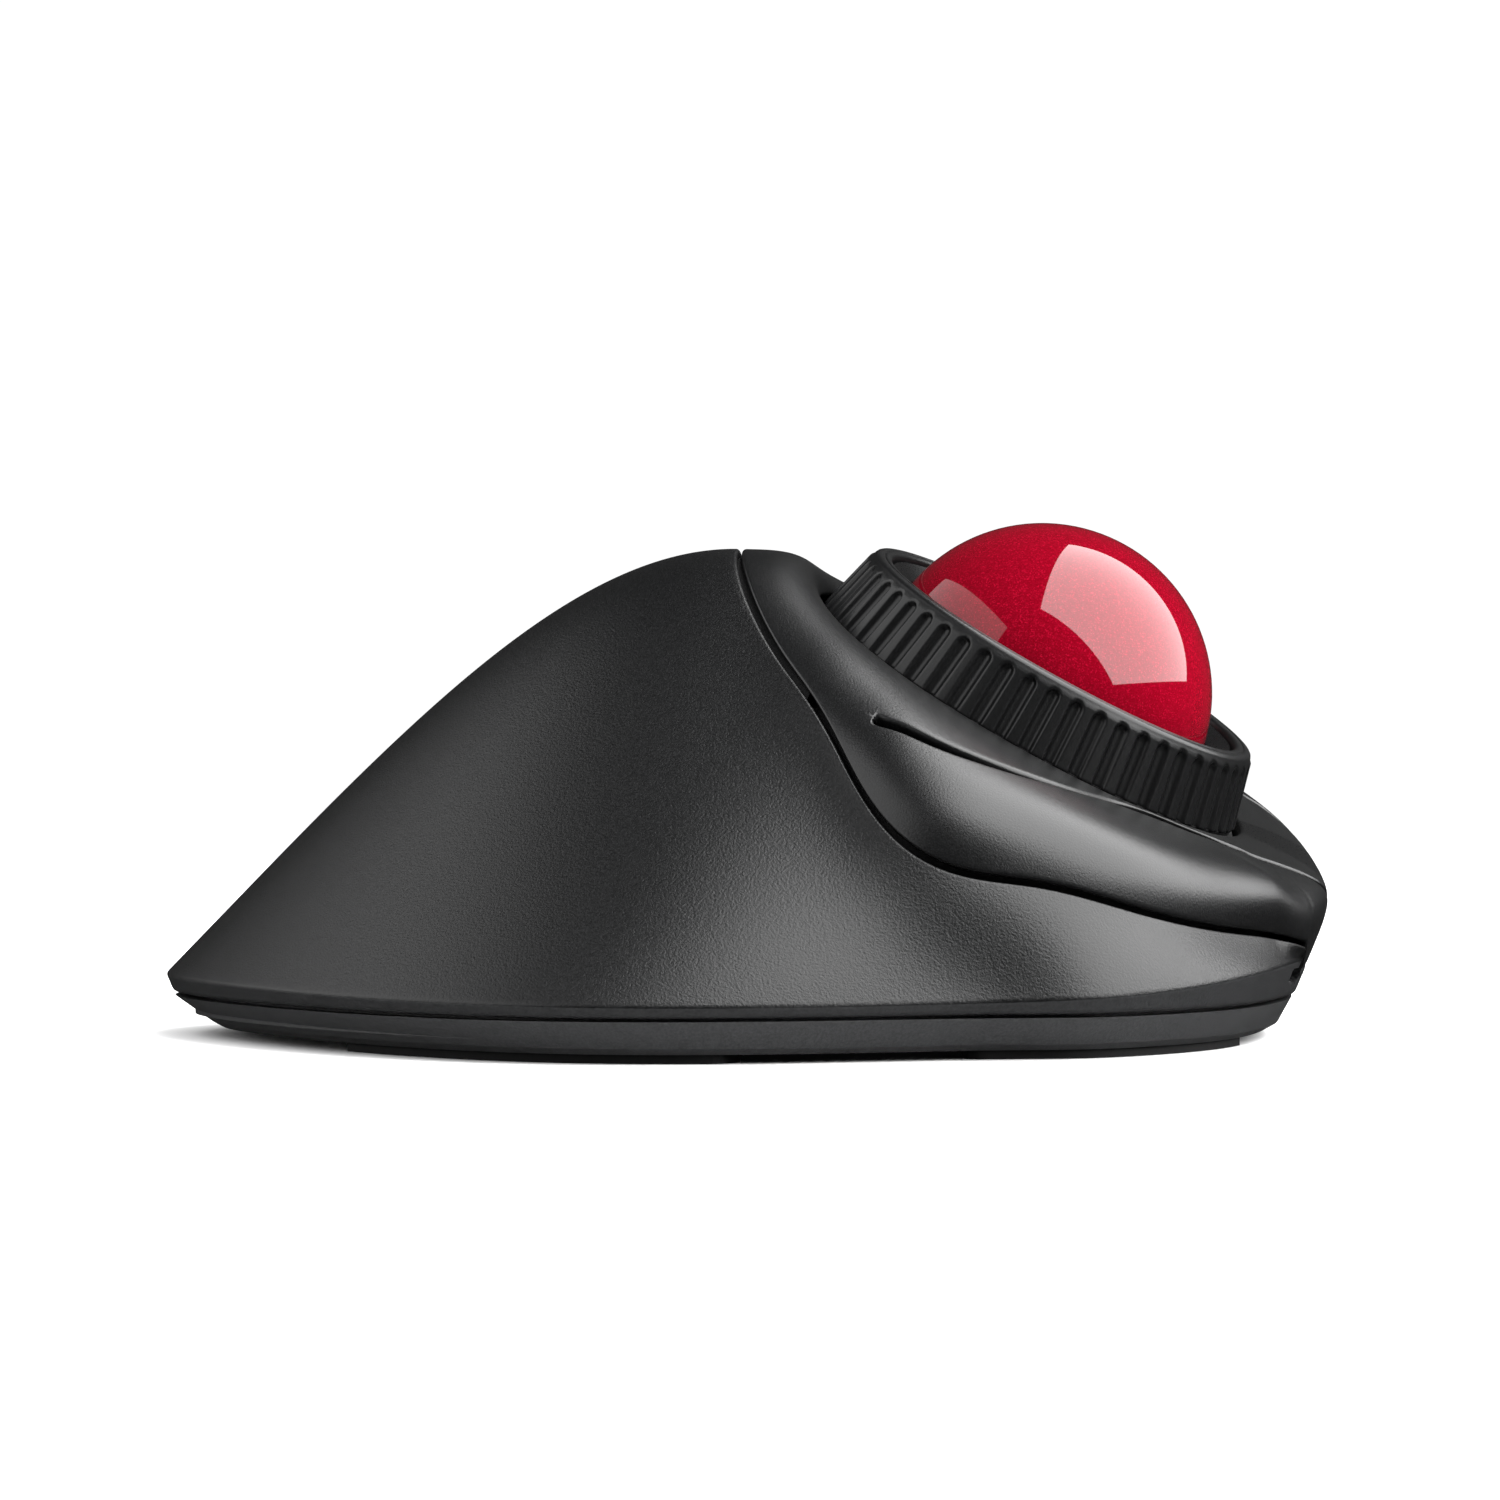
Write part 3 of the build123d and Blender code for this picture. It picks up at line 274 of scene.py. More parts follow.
def grid_normals(grid, closed=False):
    """Unit normals of a grid of points."""
    if closed:
        along = np.roll(grid, -1, 0) - np.roll(grid, 1, 0)
    else:
        along = np.gradient(grid, axis=0)
    normal = np.cross(along, across_rows(grid))
    size = np.linalg.norm(normal, axis=2, keepdims=True)
    return normal / np.maximum(size, 1e-18)


def grid_faces(rows, columns, closed=False):
    """Quads of a grid with this many columns of this many rows."""
    j = np.arange(columns if closed else columns - 1)[:, None]
    i = np.arange(rows - 1)[None, :]
    k = (j + 1) % columns
    return np.stack([j * rows + i, k * rows + i, k * rows + i + 1, j * rows + i + 1], 2).reshape(-1, 4)


def mesh_object(name, parts, outward=True):
    """One mesh from parts of (points, normals, faces); coincident points are joined.

    outward is False for parts whose columns run anticlockwise: they come out inside out and are turned over here."""
    if not outward:
        parts = [(points, -normals, faces[:, ::-1]) for points, normals, faces in parts]
    points = np.concatenate([p[0].reshape(-1, 3) for p in parts])
    normals = np.concatenate([p[1].reshape(-1, 3) for p in parts])
    offsets = np.cumsum([0] + [p[0].reshape(-1, 3).shape[0] for p in parts[:-1]])
    faces = np.concatenate([p[2] + o for p, o in zip(parts, offsets)])
    places = np.round(points * JOIN_SCALE).astype(np.int64)
    _, first, which = np.unique(places, axis=0, return_index=True, return_inverse=True)
    which = which.reshape(-1)
    merged = np.zeros((len(first), 3))
    np.add.at(merged, which, normals)
    merged /= np.maximum(np.linalg.norm(merged, axis=1, keepdims=True), 1e-18)
    spots = points[first]
    loops = []
    for face in which[faces]:
        kept = [face[i] for i in range(4) if face[i] != face[i - 1]]
        if len(set(kept)) == len(kept) and len(kept) > 2:
            loops.append([int(v) for v in kept])
    mesh = bpy.data.meshes.new(name)
    mesh.from_pydata([tuple(p) for p in spots], [], loops)
    mesh.validate()
    mesh.polygons.foreach_set("use_smooth", [True] * len(mesh.polygons))
    if len(mesh.vertices) == len(spots):
        mesh.normals_split_custom_set_from_vertices([tuple(n) for n in merged])
    piece = bpy.data.objects.new(name, mesh)
    bpy.context.scene.collection.objects.link(piece)
    return piece


def roll(radius, wall, steps=6):
    """A rounded edge: distances from the edge and drops below the face, from the foot of the wall up."""
    turn = np.linspace(0, pi / 2, steps + 1)
    return (np.concatenate([[0.0, 0.0], radius * (1 - np.cos(turn))]),
            np.concatenate([[wall, (wall + radius) / 2], radius * (1 - np.sin(turn))]))


def patch(angles, span, radius=(0.4, 0.4), wall=(1.6, 1.6), middle=48, open_from=None, shut_to=None,
          ends=(False, False), end_radius=0.4, flat=(False, False)):
    """A skin over part of the panel with rounded edges. span(angle, line) gives its first and last distance.

    open_from and shut_to give, for each angle, how far the first and last edges are rolled over (0 to 1). ends rolls
    the first and last angles over too. flat leaves the first or last edge unrolled, to join another patch."""
    low_x, low_d = roll(radius[0], wall[0])
    high_x, high_d = roll(radius[1], wall[1])
    steps = np.linspace(0, 1, middle)[1:-1]
    columns = []
    for index, angle in enumerate(angles):
        section = Line(panel_line(angle % 360))
        first, last = span(angle % 360, section)
        opening = 1.0 if open_from is None else open_from(angle)
        shutting = 1.0 if shut_to is None else shut_to(angle)
        a = first + (0 if flat[0] else radius[0])
        b = last - (0 if flat[1] else radius[1])
        start_x = [first] if flat[0] else first + low_x
        start_d = [0.0] if flat[0] else low_d * opening
        end_x = [last] if flat[1] else last - high_x[::-1]
        end_d = [0.0] if flat[1] else high_d[::-1] * shutting
        far = np.concatenate([start_x, a + (b - a) * steps, end_x])
        drop = np.concatenate([start_d, np.zeros(len(steps)), end_d])
        if ends[0] or ends[1]:
            reach = min(column_distance(angles, index, end, section) for end in (0, -1) if ends[end])
            rolled = end_radius - np.sqrt(max(0.0, end_radius**2 - max(0.0, end_radius - reach)**2))
            drop = np.maximum(drop, rolled)
        columns.append(in_space(section.at(far, drop), angle))
    return np.stack(columns)


def column_distance(angles, index, end, section):
    """How far this column lies from the first or last one, along the surface, in millimetres."""
    return abs(radians(angles[index] - angles[end])) * section.points[:, 0].mean()


def skirted(grid, end, depth=SKIRT):
    """The grid with one more column dropped below its first or last one, as the wall of that end. A negative depth
    is for a grid whose angles increase, because its normals still point inwards."""
    normal = grid_normals(grid)
    edge = 0 if end == 0 else -1
    wall = grid[edge] - normal[edge] * depth * MM
    return np.concatenate([wall[None], grid]) if end == 0 else np.concatenate([grid, wall[None]])


def part(grid, ghost=(0, 0), closed=False):
    """Points, normals and faces of a grid, less the ghost columns that only shape the normals at its ends."""
    normal = grid_normals(grid, closed)
    last = grid.shape[0] - ghost[1]
    grid, normal = grid[ghost[0]:last], normal[ghost[0]:last]
    return grid, normal, grid_faces(grid.shape[1], grid.shape[0], closed)


def spread(first, last, step, fine_first=0.0, fine_last=0.0):
    """Angles from first to last, closer together near an end that is to be rounded."""
    count = max(2, int(round(abs(last - first) / step)))
    angles = list(np.linspace(first, last, count + 1))
    way = 1 if last > first else -1
    extra = []
    for fine, spot, sign in ((fine_first, first, way), (fine_last, last, -way)):
        if fine:
            extra += [spot + sign * fine * (1 - cos(k * pi / 16)) for k in range(1, 9)]
            angles = [a for a in angles if a == spot or abs(a - spot) > fine * 1.2]
    return np.array(sorted(set(np.round(angles + extra, 6)), reverse=last < first))


# ---------------------------------------------------------------- materials
def nodes_of(material):
    material.use_nodes = True
    tree = material.node_tree
    return tree, tree.nodes["Principled BSDF"]


def noise_node(tree, scale, detail, rough=0.5):
    """Noise in the object's own space."""
    where = tree.nodes.new("ShaderNodeTexCoord")
    noise = tree.nodes.new("ShaderNodeTexNoise")
    noise.inputs["Scale"].default_value = scale
    noise.inputs["Detail"].default_value = detail
    noise.inputs["Roughness"].default_value = rough
    tree.links.new(where.outputs["Object"], noise.inputs["Vector"])
    return noise.outputs["Fac"]


def colour_by(tree, shader, source, stops):
    """The shader's colour from this source, through stops of (position, colour)."""
    ramp = tree.nodes.new("ShaderNodeValToRGB")
    elements = ramp.color_ramp.elements
    elements[0].position, elements[1].position = stops[0][0], stops[-1][0]
    elements[0].color, elements[1].color = (*stops[0][1], 1), (*stops[-1][1], 1)
    for position, colour in stops[1:-1]:
        elements.new(position).color = (*colour, 1)
    tree.links.new(source, ramp.inputs["Fac"])
    tree.links.new(ramp.outputs["Color"], shader.inputs["Base Color"])


def roughness_by(tree, shader, source, low, high):
    span = tree.nodes.new("ShaderNodeMapRange")
    span.inputs["To Min"].default_value = low
    span.inputs["To Max"].default_value = high
    tree.links.new(source, span.inputs["Value"])
    tree.links.new(span.outputs["Result"], shader.inputs["Roughness"])


def bump_node(tree, source, depth):
    """A bump this deep, in millimetres."""
    bump = tree.nodes.new("ShaderNodeBump")
    bump.inputs["Strength"].default_value = 1.0
    bump.inputs["Distance"].default_value = depth * MM
    tree.links.new(source, bump.inputs["Height"])
    return bump


def plastic(name, colour, rough, grain=3500.0, depth=0.03, speck=0.35, rough_spread=0.08, specular=0.45, coat=0.0,
            broad_depth=0.0, broad_grain=900.0):
    """Moulded plastic: fine grain in bump, colour and roughness, over a broader grain where there is one."""
    material = bpy.data.materials.new(name)
    tree, shader = nodes_of(material)
    shader.inputs["Specular IOR Level"].default_value = specular
    shader.inputs["Coat Weight"].default_value = coat
    shader.inputs["Coat Roughness"].default_value = 0.1
    noise = noise_node(tree, grain, 3.0, 0.6)
    dark, light = [c * (1 - speck) for c in colour], [c * (1 + speck) for c in colour]
    colour_by(tree, shader, noise, [(0.35, dark), (0.72, light)])
    roughness_by(tree, shader, noise, rough - rough_spread, rough + rough_spread)
    bump = bump_node(tree, noise, depth)
    if broad_depth:
        lower = bump_node(tree, noise_node(tree, broad_grain, 2.0), broad_depth)
        tree.links.new(lower.outputs["Normal"], bump.inputs["Normal"])
    tree.links.new(bump.outputs["Normal"], shader.inputs["Normal"])
    return material


def ball_material(name):
    """Deep red with fine flakes under a clear gloss."""
    material = bpy.data.materials.new(name)
    tree, shader = nodes_of(material)
    where = tree.nodes.new("ShaderNodeTexCoord")
    cells = tree.nodes.new("ShaderNodeTexVoronoi")
    cells.inputs["Scale"].default_value = 7500.0
    tree.links.new(where.outputs["Object"], cells.inputs["Vector"])
    flake = tree.nodes.new("ShaderNodeSeparateColor")
    tree.links.new(cells.outputs["Color"], flake.inputs["Color"])
    colour_by(tree, shader, flake.outputs["Red"],
              [(0.0, (0.110, 0.0002, 0.0040)), (0.82, (0.150, 0.0006, 0.0070)), (1.0, (0.25, 0.002, 0.014))])
    roughness_by(tree, shader, flake.outputs["Green"], 0.26, 0.42)
    bump = bump_node(tree, flake.outputs["Blue"], 0.006)
    tree.links.new(bump.outputs["Normal"], shader.inputs["Normal"])
    shader.inputs["Specular IOR Level"].default_value = 0.0
    shader.inputs["Coat Weight"].default_value = 1.0
    shader.inputs["Coat Roughness"].default_value = 0.03
    shader.inputs["Coat IOR"].default_value = 1.5
    return material


def metal(name, colour, rough):
    """Plated metal with fine brushing."""
    material = bpy.data.materials.new(name)
    tree, shader = nodes_of(material)
    shader.inputs["Metallic"].default_value = 1.0
    noise = noise_node(tree, 2500.0, 4.0)
    colour_by(tree, shader, noise, [(0.0, [c * 0.8 for c in colour]), (1.0, colour)])
    roughness_by(tree, shader, noise, rough * 0.7, rough * 1.3)
    return material


def clear(name):
    """Clear moulded plastic, for the lens."""
    material = plastic(name, (0.8, 0.86, 0.9), 0.12, speck=0.05, depth=0.002, rough_spread=0.02)
    shader = material.node_tree.nodes["Principled BSDF"]
    shader.inputs["Transmission Weight"].default_value = 0.9
    shader.inputs["IOR"].default_value = 1.49
    return material


SKIN_BLACK, INNER_BLACK = (0.0026, 0.0027, 0.0029), (0.003, 0.003, 0.0032)
PLASTICS = {
    "palm_black": dict(colour=SKIN_BLACK, rough=0.35, grain=3600, depth=0.065, speck=0.5, specular=0.42,
                       rough_spread=0.10, broad_depth=0.016, broad_grain=1900),
    "panel_black": dict(colour=SKIN_BLACK, rough=0.32, grain=4200, speck=0.25, specular=0.5),
    "gloss_black": dict(colour=INNER_BLACK, rough=0.28, grain=6000, depth=0.004, speck=0.15, rough_spread=0.04),
    "ring_black": dict(colour=(0.0030, 0.0031, 0.0033), rough=0.33, grain=4200, depth=0.014, speck=0.2),
    "base_black": dict(colour=(0.0280, 0.0285, 0.0295), rough=0.42, grain=3200, speck=0.3),
    "inner_black": dict(colour=INNER_BLACK, rough=0.6, grain=3000, depth=0.02, specular=0.3),
    "foot_rubber": dict(colour=INNER_BLACK, rough=0.72, grain=2500, specular=0.3),
    "inner_grey": dict(colour=(0.075, 0.078, 0.082), rough=0.5, depth=0.01),
    "bearing_white": dict(colour=(0.75, 0.74, 0.69), rough=0.18, depth=0.003, speck=0.05, coat=0.6),
    "board_green": dict(colour=(0.008, 0.075, 0.035), rough=0.35, grain=700, depth=0.004, speck=0.2, coat=0.3),
    "cell_silver": dict(colour=(0.30, 0.31, 0.33), rough=0.3, grain=900, depth=0.003, speck=0.1, coat=0.5),
    "switch_ivory": dict(colour=(0.62, 0.60, 0.50), rough=0.4, depth=0.006, speck=0.06),
}
SLOTS = {name: plastic(name, **look) for name, look in PLASTICS.items()}
SLOTS["ball_red"] = ball_material("ball_red")
SLOTS["clear"] = clear("clear")
SLOTS["steel"] = metal("steel", (0.55, 0.56, 0.57), 0.3)
SLOTS["nickel"] = metal("nickel", (0.64, 0.62, 0.58), 0.24)
# The belt's colour, far lighter than the palm's, is painted sheen: it stands in for the floor's reflection, which
# glossy rays don't see. Its grain and roughness are its own.
BELT_WITH_PAINTED_SHEEN = plastic("belt_black_painted_sheen", (0.0150, 0.0153, 0.0160), 0.42, grain=3200, speck=0.3)
slot_of = {s["node"]: s["material_slot"] for s in frame["record"]["subparts"]}
for node, thing in frame["nodes"].items():
    thing.data.materials.clear()
    thing.data.materials.append(SLOTS[slot_of[node]])


def dress(piece, slot, body, *nodes):
    """Gives a piece its material and, where a body is named, that body; a piece given a bending instead only has its
    transform baked. Hides the CAD nodes that it stands for.
    """
    piece.data.materials.append(SLOTS[slot])
    if isinstance(body, str):
        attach(piece, body)
    else:
        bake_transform(piece)
    if nodes:
        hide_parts(*nodes)
    return piece


# ---------------------------------------------------------------- palm cover
PALM_ANGLES = 720
PALM_EDGE, PALM_WALL = 0.36, 2.4    # the palm's rolled edge at the seam, and the wall below it
CREASE_ROUND, BELT_START = 0.45, 0.35   # the crease is rounded from this far above it to this far below it
SLOPE_STEPS, BELT_STEPS, FOOT_ROUND = 118, 23, 0.5
# The slot that carries the nose's seam on into the belt at each side: its middle and half height, its depth, the
# share of its half height over which it deepens, and the degrees from straight ahead between which it runs.
NOTCH_Z, NOTCH_HALF, NOTCH_DEPTH, NOTCH_SLOPE, NOTCH_FROM, NOTCH_TO = 7.6, 0.75, 1.9, 0.15, 31.5, 38.0
NOTCH_RADIUS = 34.0             # the belt's distance from the pole there


def notch(angle, height):
    """How deep the slot cuts into the belt at these heights; its end is round."""
    past = NOTCH_TO - from_nose(angle) if from_nose(angle) > NOTCH_FROM else 0.0
    reach = radians(past) * NOTCH_RADIUS
    if reach <= 0:
        return np.zeros_like(height)
    half = NOTCH_HALF * (1 - (1 - min(1.0, reach / NOTCH_HALF))**2)**0.5
    away = np.abs(height - NOTCH_Z) / half
    return NOTCH_DEPTH * np.clip((1 - away) / NOTCH_SLOPE, 0, 1)


def palm_section(angle):
    """The skin from inside the seam, over the edge, down to the crease, the belt and its foot."""
    line = Line(palm_line(angle % 360))
    x, d = roll(min(PALM_EDGE, line.length * 0.12), PALM_WALL)
    first = min(seam_gap(angle), line.length * 0.3)
    start = first + x[-1]
    end = line.length - CREASE_ROUND
    if end < start:
        end = start + 0.02
    inside = np.linspace(start, end, SLOPE_STEPS)[1:]
    upper = line.at(np.concatenate([first + x, inside]), np.concatenate([d, np.zeros(len(inside))]))
    rho, z = crease_point(angle)
    fall = z - SHELL_BOTTOM
    foot = np.linspace(0, pi / 2, 6)[1:]
    drops = np.concatenate([np.linspace(BELT_START, fall - FOOT_ROUND, BELT_STEPS),
                            fall - FOOT_ROUND + FOOT_ROUND * np.sin(foot)])
    inset = np.concatenate([np.zeros(BELT_STEPS), FOOT_ROUND * (1 - np.cos(foot))]) + notch(angle, z - drops)
    belt = np.stack([rho - BELT_FLARE * drops - inset, z - drops], 1)
    t = np.linspace(0, 1, 7)[1:-1][:, None]
    corner = np.array([[rho, z]])
    bend = (1 - t)**2 * upper[-1][None] + 2 * t * (1 - t) * corner + t**2 * belt[0][None]
    under = belt[-1][None] + np.array([[-0.7, 0], [-1.5, 0]])
    return np.concatenate([upper, bend, belt, under])


def palm_cover():
    """The palm rest in one skin; the belt below its crease has a finish of its own, with a lighter colour that is
    painted sheen in place of the floor's reflection.
    """
    angles = np.linspace(0, 360, PALM_ANGLES + 1)[:-1]
    grid = np.stack([in_space(palm_section(a), a) for a in angles])
    piece = mesh_object("palm_skin", [part(grid, closed=True)], False)
    dress(piece, "palm_black", "chassis", "palm_cover")
    piece.data.materials.append(BELT_WITH_PAINTED_SHEEN)
    # Faces below the crease take the belt's material, with its painted sheen.
    for face in piece.data.polygons:
        x, y, z = face.center / MM
        angle = degrees(atan2(y - POLE[1], x - POLE[0])) % 360
        face.material_index = int(z < crease_point(angle)[1] - 0.1)


# ---------------------------------------------------------------- panel, rims and buttons
SLIT_HALF, SLIT_NARROWING, SLIT_END = 0.68, 0.06, 0.9   # its end is round within SLIT_END degrees of the hinge
SLIT_EDGE, SLIT_WALL, SEAM_EDGE, SEAM_WALL = 0.55, 1.5, 0.45, 2.6
SLIT_ROLLED = 0.45              # its edges are fully rolled over where it is this wide to each side
DISH_EDGE, DISH_WALL = 0.5, 2.4
FULL_RIM = 2.4                  # where the rim is narrower than this its rolled edges shrink with it
RIGHT_HINGE_AT, LEFT_HINGE_AT = (42.5, 36.0), (40.2, 41.0)  # where the buttons turn, as (rho, z)
BEND_BEFORE, BEND_AFTER = 0.0005, 0.0015    # where a bending's two points lie, from here before its hinge to here after it, in metres


def slit_half(angle):
    """Half the slit's width: round at its rear end, then narrowing towards the nose."""
    hinge, nose = (RIGHT_HINGE, RIGHT_NOSE) if angle > 180 else (LEFT_HINGE, LEFT_NOSE)
    along = (angle - hinge) / (nose - hinge)
    if along <= 0:
        return 0.0
    width = SLIT_HALF - SLIT_NARROWING * min(1.0, along * 3)
    turn = abs(angle - hinge) / SLIT_END
    return width * (1 - (1 - min(1.0, turn))**2)**0.5


def opened(angle):
    """0 where the panel is whole, 1 where the slit's edge is fully rolled over."""
    half = slit_half(angle % 360)
    return min(1.0, half / SLIT_ROLLED) if half else 0.0


def slit_far(angle, line):
    """How far the slit's middle lies from the dish."""
    return line.length * slit_share(angle)


def side_edge(line):
    """How far the side buttons' upper edge lies from the dish."""
    return line.far[int(round(SIDE_BUTTON_FROM * (len(line.far) - 1)))]


# Where each skin begins and ends, as distances from the dish.
def rim_span(angle, line):
    return 0.0, slit_far(angle, line) - slit_half(angle)


def button_span(angle, line):
    return slit_far(angle, line) + slit_half(angle), line.length - seam_gap(angle)


def upper_span(angle, line):
    return slit_far(angle, line) + slit_half(angle), side_edge(line) - SIDE_BUTTON_GAP


def low_span(angle, line):
    return side_edge(line) - SIDE_BUTTON_GAP, line.length - seam_gap(angle)


def side_span(angle, line):
    return side_edge(line) + 0.1, line.length - seam_gap(angle)


def slit_angles(hinge, nose):
    """Angles from the hinge to the nose, close together round the slit's rear end."""
    way = 1 if nose > hinge else -1
    close = [hinge + way * a for a in (0.0, 0.03, 0.1, 0.2, 0.34, 0.5, 0.68, 0.9, 1.3, 1.9, 2.7)]
    rest = spread(hinge + way * 3.6, nose, 0.6, 0, 0.8)
    return np.concatenate([close, rest])


def outer(angles, span, wall=(SLIT_WALL, SEAM_WALL), **more):
    """The skin beyond the slit, down to the seam."""
    return patch(angles, span, radius=(SLIT_EDGE, SEAM_EDGE), wall=wall, middle=56, open_from=opened, **more)


def panel_side(name, hinge, nose, cut=None):
    """Half of the panel behind the ring and the button that grows out of it, as one skin across the hinge."""
    saddle = spread(MIDDLE, hinge, 1.5)
    way = 1 if nose > hinge else -1
    ghost = MIDDLE - way * 1.5
    angles = np.concatenate([[ghost], saddle[:-1], slit_angles(hinge, nose)])
    if cut is None:
        parts = [part(skirted(outer(angles, button_span), 1, -SKIRT * way), (1, 0))]
    else:
        parts = cut(angles)
    inner_angles = np.concatenate([[ghost], saddle, [hinge + way * 1.0]])
    grid = patch(inner_angles, lambda a, l: (0.0, slit_far(a, l)), radius=(DISH_EDGE, 0.5), wall=(DISH_WALL, 1.0),
                 middle=30, flat=(False, True))
    parts.append(part(grid, (1, 1)))
    return mesh_object(name, parts, way < 0)


def rim(name, hinge, nose):
    """The strip between the dish and the slit, which narrows to a point where they meet."""
    way = 1 if nose > hinge else -1
    angles = np.concatenate([[hinge - way * 1.0], slit_angles(hinge, nose + way * 1.0)])
    low_x, low_d = roll(DISH_EDGE, DISH_WALL)
    high_x, high_d = roll(SLIT_EDGE, SLIT_WALL)
    columns = []
    for angle in angles:
        section = Line(panel_line(angle % 360))
        first, last = rim_span(angle % 360, section)
        scale = min(1.0, (last - first) / FULL_RIM)
        inside = np.linspace(first + low_x[-1] * scale, last - high_x[-1] * scale, 20)[1:-1]
        far = np.concatenate([first + low_x * scale, inside, last - high_x[::-1] * scale])
        drop = np.concatenate([low_d * scale, np.zeros(len(inside)), high_d[::-1] * opened(angle) * scale])
        columns.append(in_space(section.at(far, drop), angle))
    return mesh_object(name, [part(np.stack(columns), (1, 0))], way < 0)


def nose_panel():
    """The skin under the front of the ring, between the two slits."""
    first, last = RIGHT_NOSE + 0.8, 360 + LEFT_NOSE - 0.8
    angles = spread(first, last, 0.6, 0.6, 0.6)
    grid = patch(angles, lambda a, l: (0.0, l.length - seam_gap(a)), radius=(DISH_EDGE, SEAM_EDGE),
                 wall=(DISH_WALL, SEAM_WALL), middle=60, ends=(True, True), end_radius=0.2)
    return mesh_object("nose_skin", [part(grid)], False)


def left_cut(angles):
    """The left button's skin around the cut-out for the side buttons: above it, behind it and in front of it."""
    first = SIDE_BUTTONS["forward_button"][0] - SIDE_BUTTON_ENDS
    last = SIDE_BUTTONS["back_button"][1] + SIDE_BUTTON_ENDS
    behind = np.array([a for a in angles if a > last + 0.2] + [last])
    above = np.array([last] + [a for a in angles if first + 0.2 < a < last - 0.2] + [first])
    front = np.array([first] + [a for a in angles if a < first - 0.2])

    def over_cut(angle):
        return float(first - 0.01 <= angle <= last + 0.01)

    upper = outer(np.concatenate([behind[:-1], above, front[1:]]), upper_span, wall=(SLIT_WALL, 0.9),
                  shut_to=over_cut)
    parts = [part(upper, (1, 0))]
    for chosen, rolled in ((behind, 1), (front, 0)):
        grid = patch(chosen, low_span, radius=(0.5, SEAM_EDGE), wall=(1.0, 1.6), middle=30, flat=(True, False),
                     ends=(rolled == 0, rolled == 1))
        parts.append(part(skirted(grid, rolled), (rolled, 0)))
    return parts


def side_button(name):
    """A side button's skin, with rounded edges and walls all round."""
    first, last = SIDE_BUTTONS[name]
    angles = spread(first + 0.15, last - 0.15, 1.0, 0.8, 0.8)
    grid = patch(angles, side_span, radius=(0.6, 0.5), wall=(1.6, 1.6), middle=36, ends=(True, True), end_radius=0.6)
    grid = skirted(skirted(grid, 0, -SKIRT), 1, -SKIRT)
    return mesh_object(name + "_skin", [part(grid)], False)


def bending(body, angle, rho, z, way):
    """A bend of a skin from the chassis into this button, across the hinge at this place, as the two bodies and two
    points; nothing here applies it.
    """
    turn = radians(angle)
    hinge = Vector(in_space(np.array([[rho, z]]), angle)[0])
    across = Vector((-sin(turn), cos(turn), 0)) * way
    return "chassis", body, tuple(hinge - across * BEND_BEFORE), tuple(hinge + across * BEND_AFTER)


def panels():
    """The panel, its two buttons, the rims and the nose."""
    dress(panel_side("right_skin", RIGHT_HINGE, RIGHT_NOSE), "panel_black",
          bending("right_key", RIGHT_HINGE, *RIGHT_HINGE_AT, 1), "right_button", "centre_panel")
    dress(panel_side("left_skin", LEFT_HINGE, LEFT_NOSE, left_cut), "panel_black",
          bending("left_key", LEFT_HINGE, *LEFT_HINGE_AT, -1), "left_button")
    dress(rim("right_rim", RIGHT_HINGE, RIGHT_NOSE), "panel_black", "chassis")
    dress(rim("left_rim", LEFT_HINGE, LEFT_NOSE), "panel_black", "chassis")
    dress(nose_panel(), "gloss_black", "chassis", "nose_panel")
    for name, body in (("forward_button", "forward_key"), ("back_button", "back_key")):
        dress(side_button(name), "gloss_black", body, name)


STRIP_ANGLES = np.arange(132.0, 232.0, 1.0)
STRIP_REACH, STRIP_DROP = np.array([0.2, 0.5, 0.9]), np.array([1.1, 1.15, 1.3])


def seam_strip():
    """The dark floor of the seam over the top of the hump, where nothing moves."""
    columns = []
    for angle in STRIP_ANGLES:
        panel, palm = Line(panel_line(angle)), Line(palm_line(angle))
        above = panel.at(panel.length - STRIP_REACH[::-1], STRIP_DROP[::-1])
        below = palm.at(STRIP_REACH, STRIP_DROP)
        columns.append(in_space(np.concatenate([above, below]), angle))
    dress(mesh_object("seam_strip", [part(np.stack(columns))], False), "inner_black", "chassis")


# ---------------------------------------------------------------- ring
FLUTES, PER_FLUTE = 54, 20
FLUTE_HALF, FLUTE_DEPTH, FLUTE_CAP = 0.80, 0.72, 3.7    # a flute ends in a half round centred at FLUTE_CAP
RIB_SINK, RIB_FADE = 0.10, 0.28     # the ribs sink this much beside each flute, over this share of its half width
FOOT_R, FOOT_H, BORE_R, TOP_H = 27.5, -2.8, 22.9, 5.7


def ring_profile():
    """(radius, height, whether the flutes cut it) from the bore, over the grooved top and down the outside."""
    wall_foot, wall_top = (FOOT_R, FOOT_H), (25.5, 4.6)
    run = np.linspace(0, 1, 34)
    wall = [(wall_top[0] + (wall_foot[0] - wall_top[0]) * t, wall_top[1] + (wall_foot[1] - wall_top[1]) * t, 1)
            for t in run]
    bore = [(BORE_R, height, 0) for height in (-2.0, 0.0, 2.0, 4.3, 5.2)]
    inner_lip = [(22.95, 5.42, 0), (23.1, 5.6, 0), (23.3, 5.68, 0), (23.55, TOP_H, 0), (23.8, TOP_H, 0)]
    groove = [(23.86, 5.66, 0), (23.9, 5.58, 0), (23.96, 5.58, 0), (24.0, 5.66, 0), (24.06, TOP_H, 0)]
    outer_lip = [(24.3, TOP_H, 0), (24.55, 5.68, 0), (24.78, 5.6, 0), (24.97, 5.45, 0), (25.1, 5.22, 0),
                 (25.2, 4.95, 0)]
    foot = [(27.42, -3.0, 1), (27.25, -3.12, 0), (26.9, -3.15, 0), (26.2, -3.12, 0), (25.7, -3.0, 0), (25.6, -2.0, 0)]
    return bore + inner_lip + groove + outer_lip + wall + foot


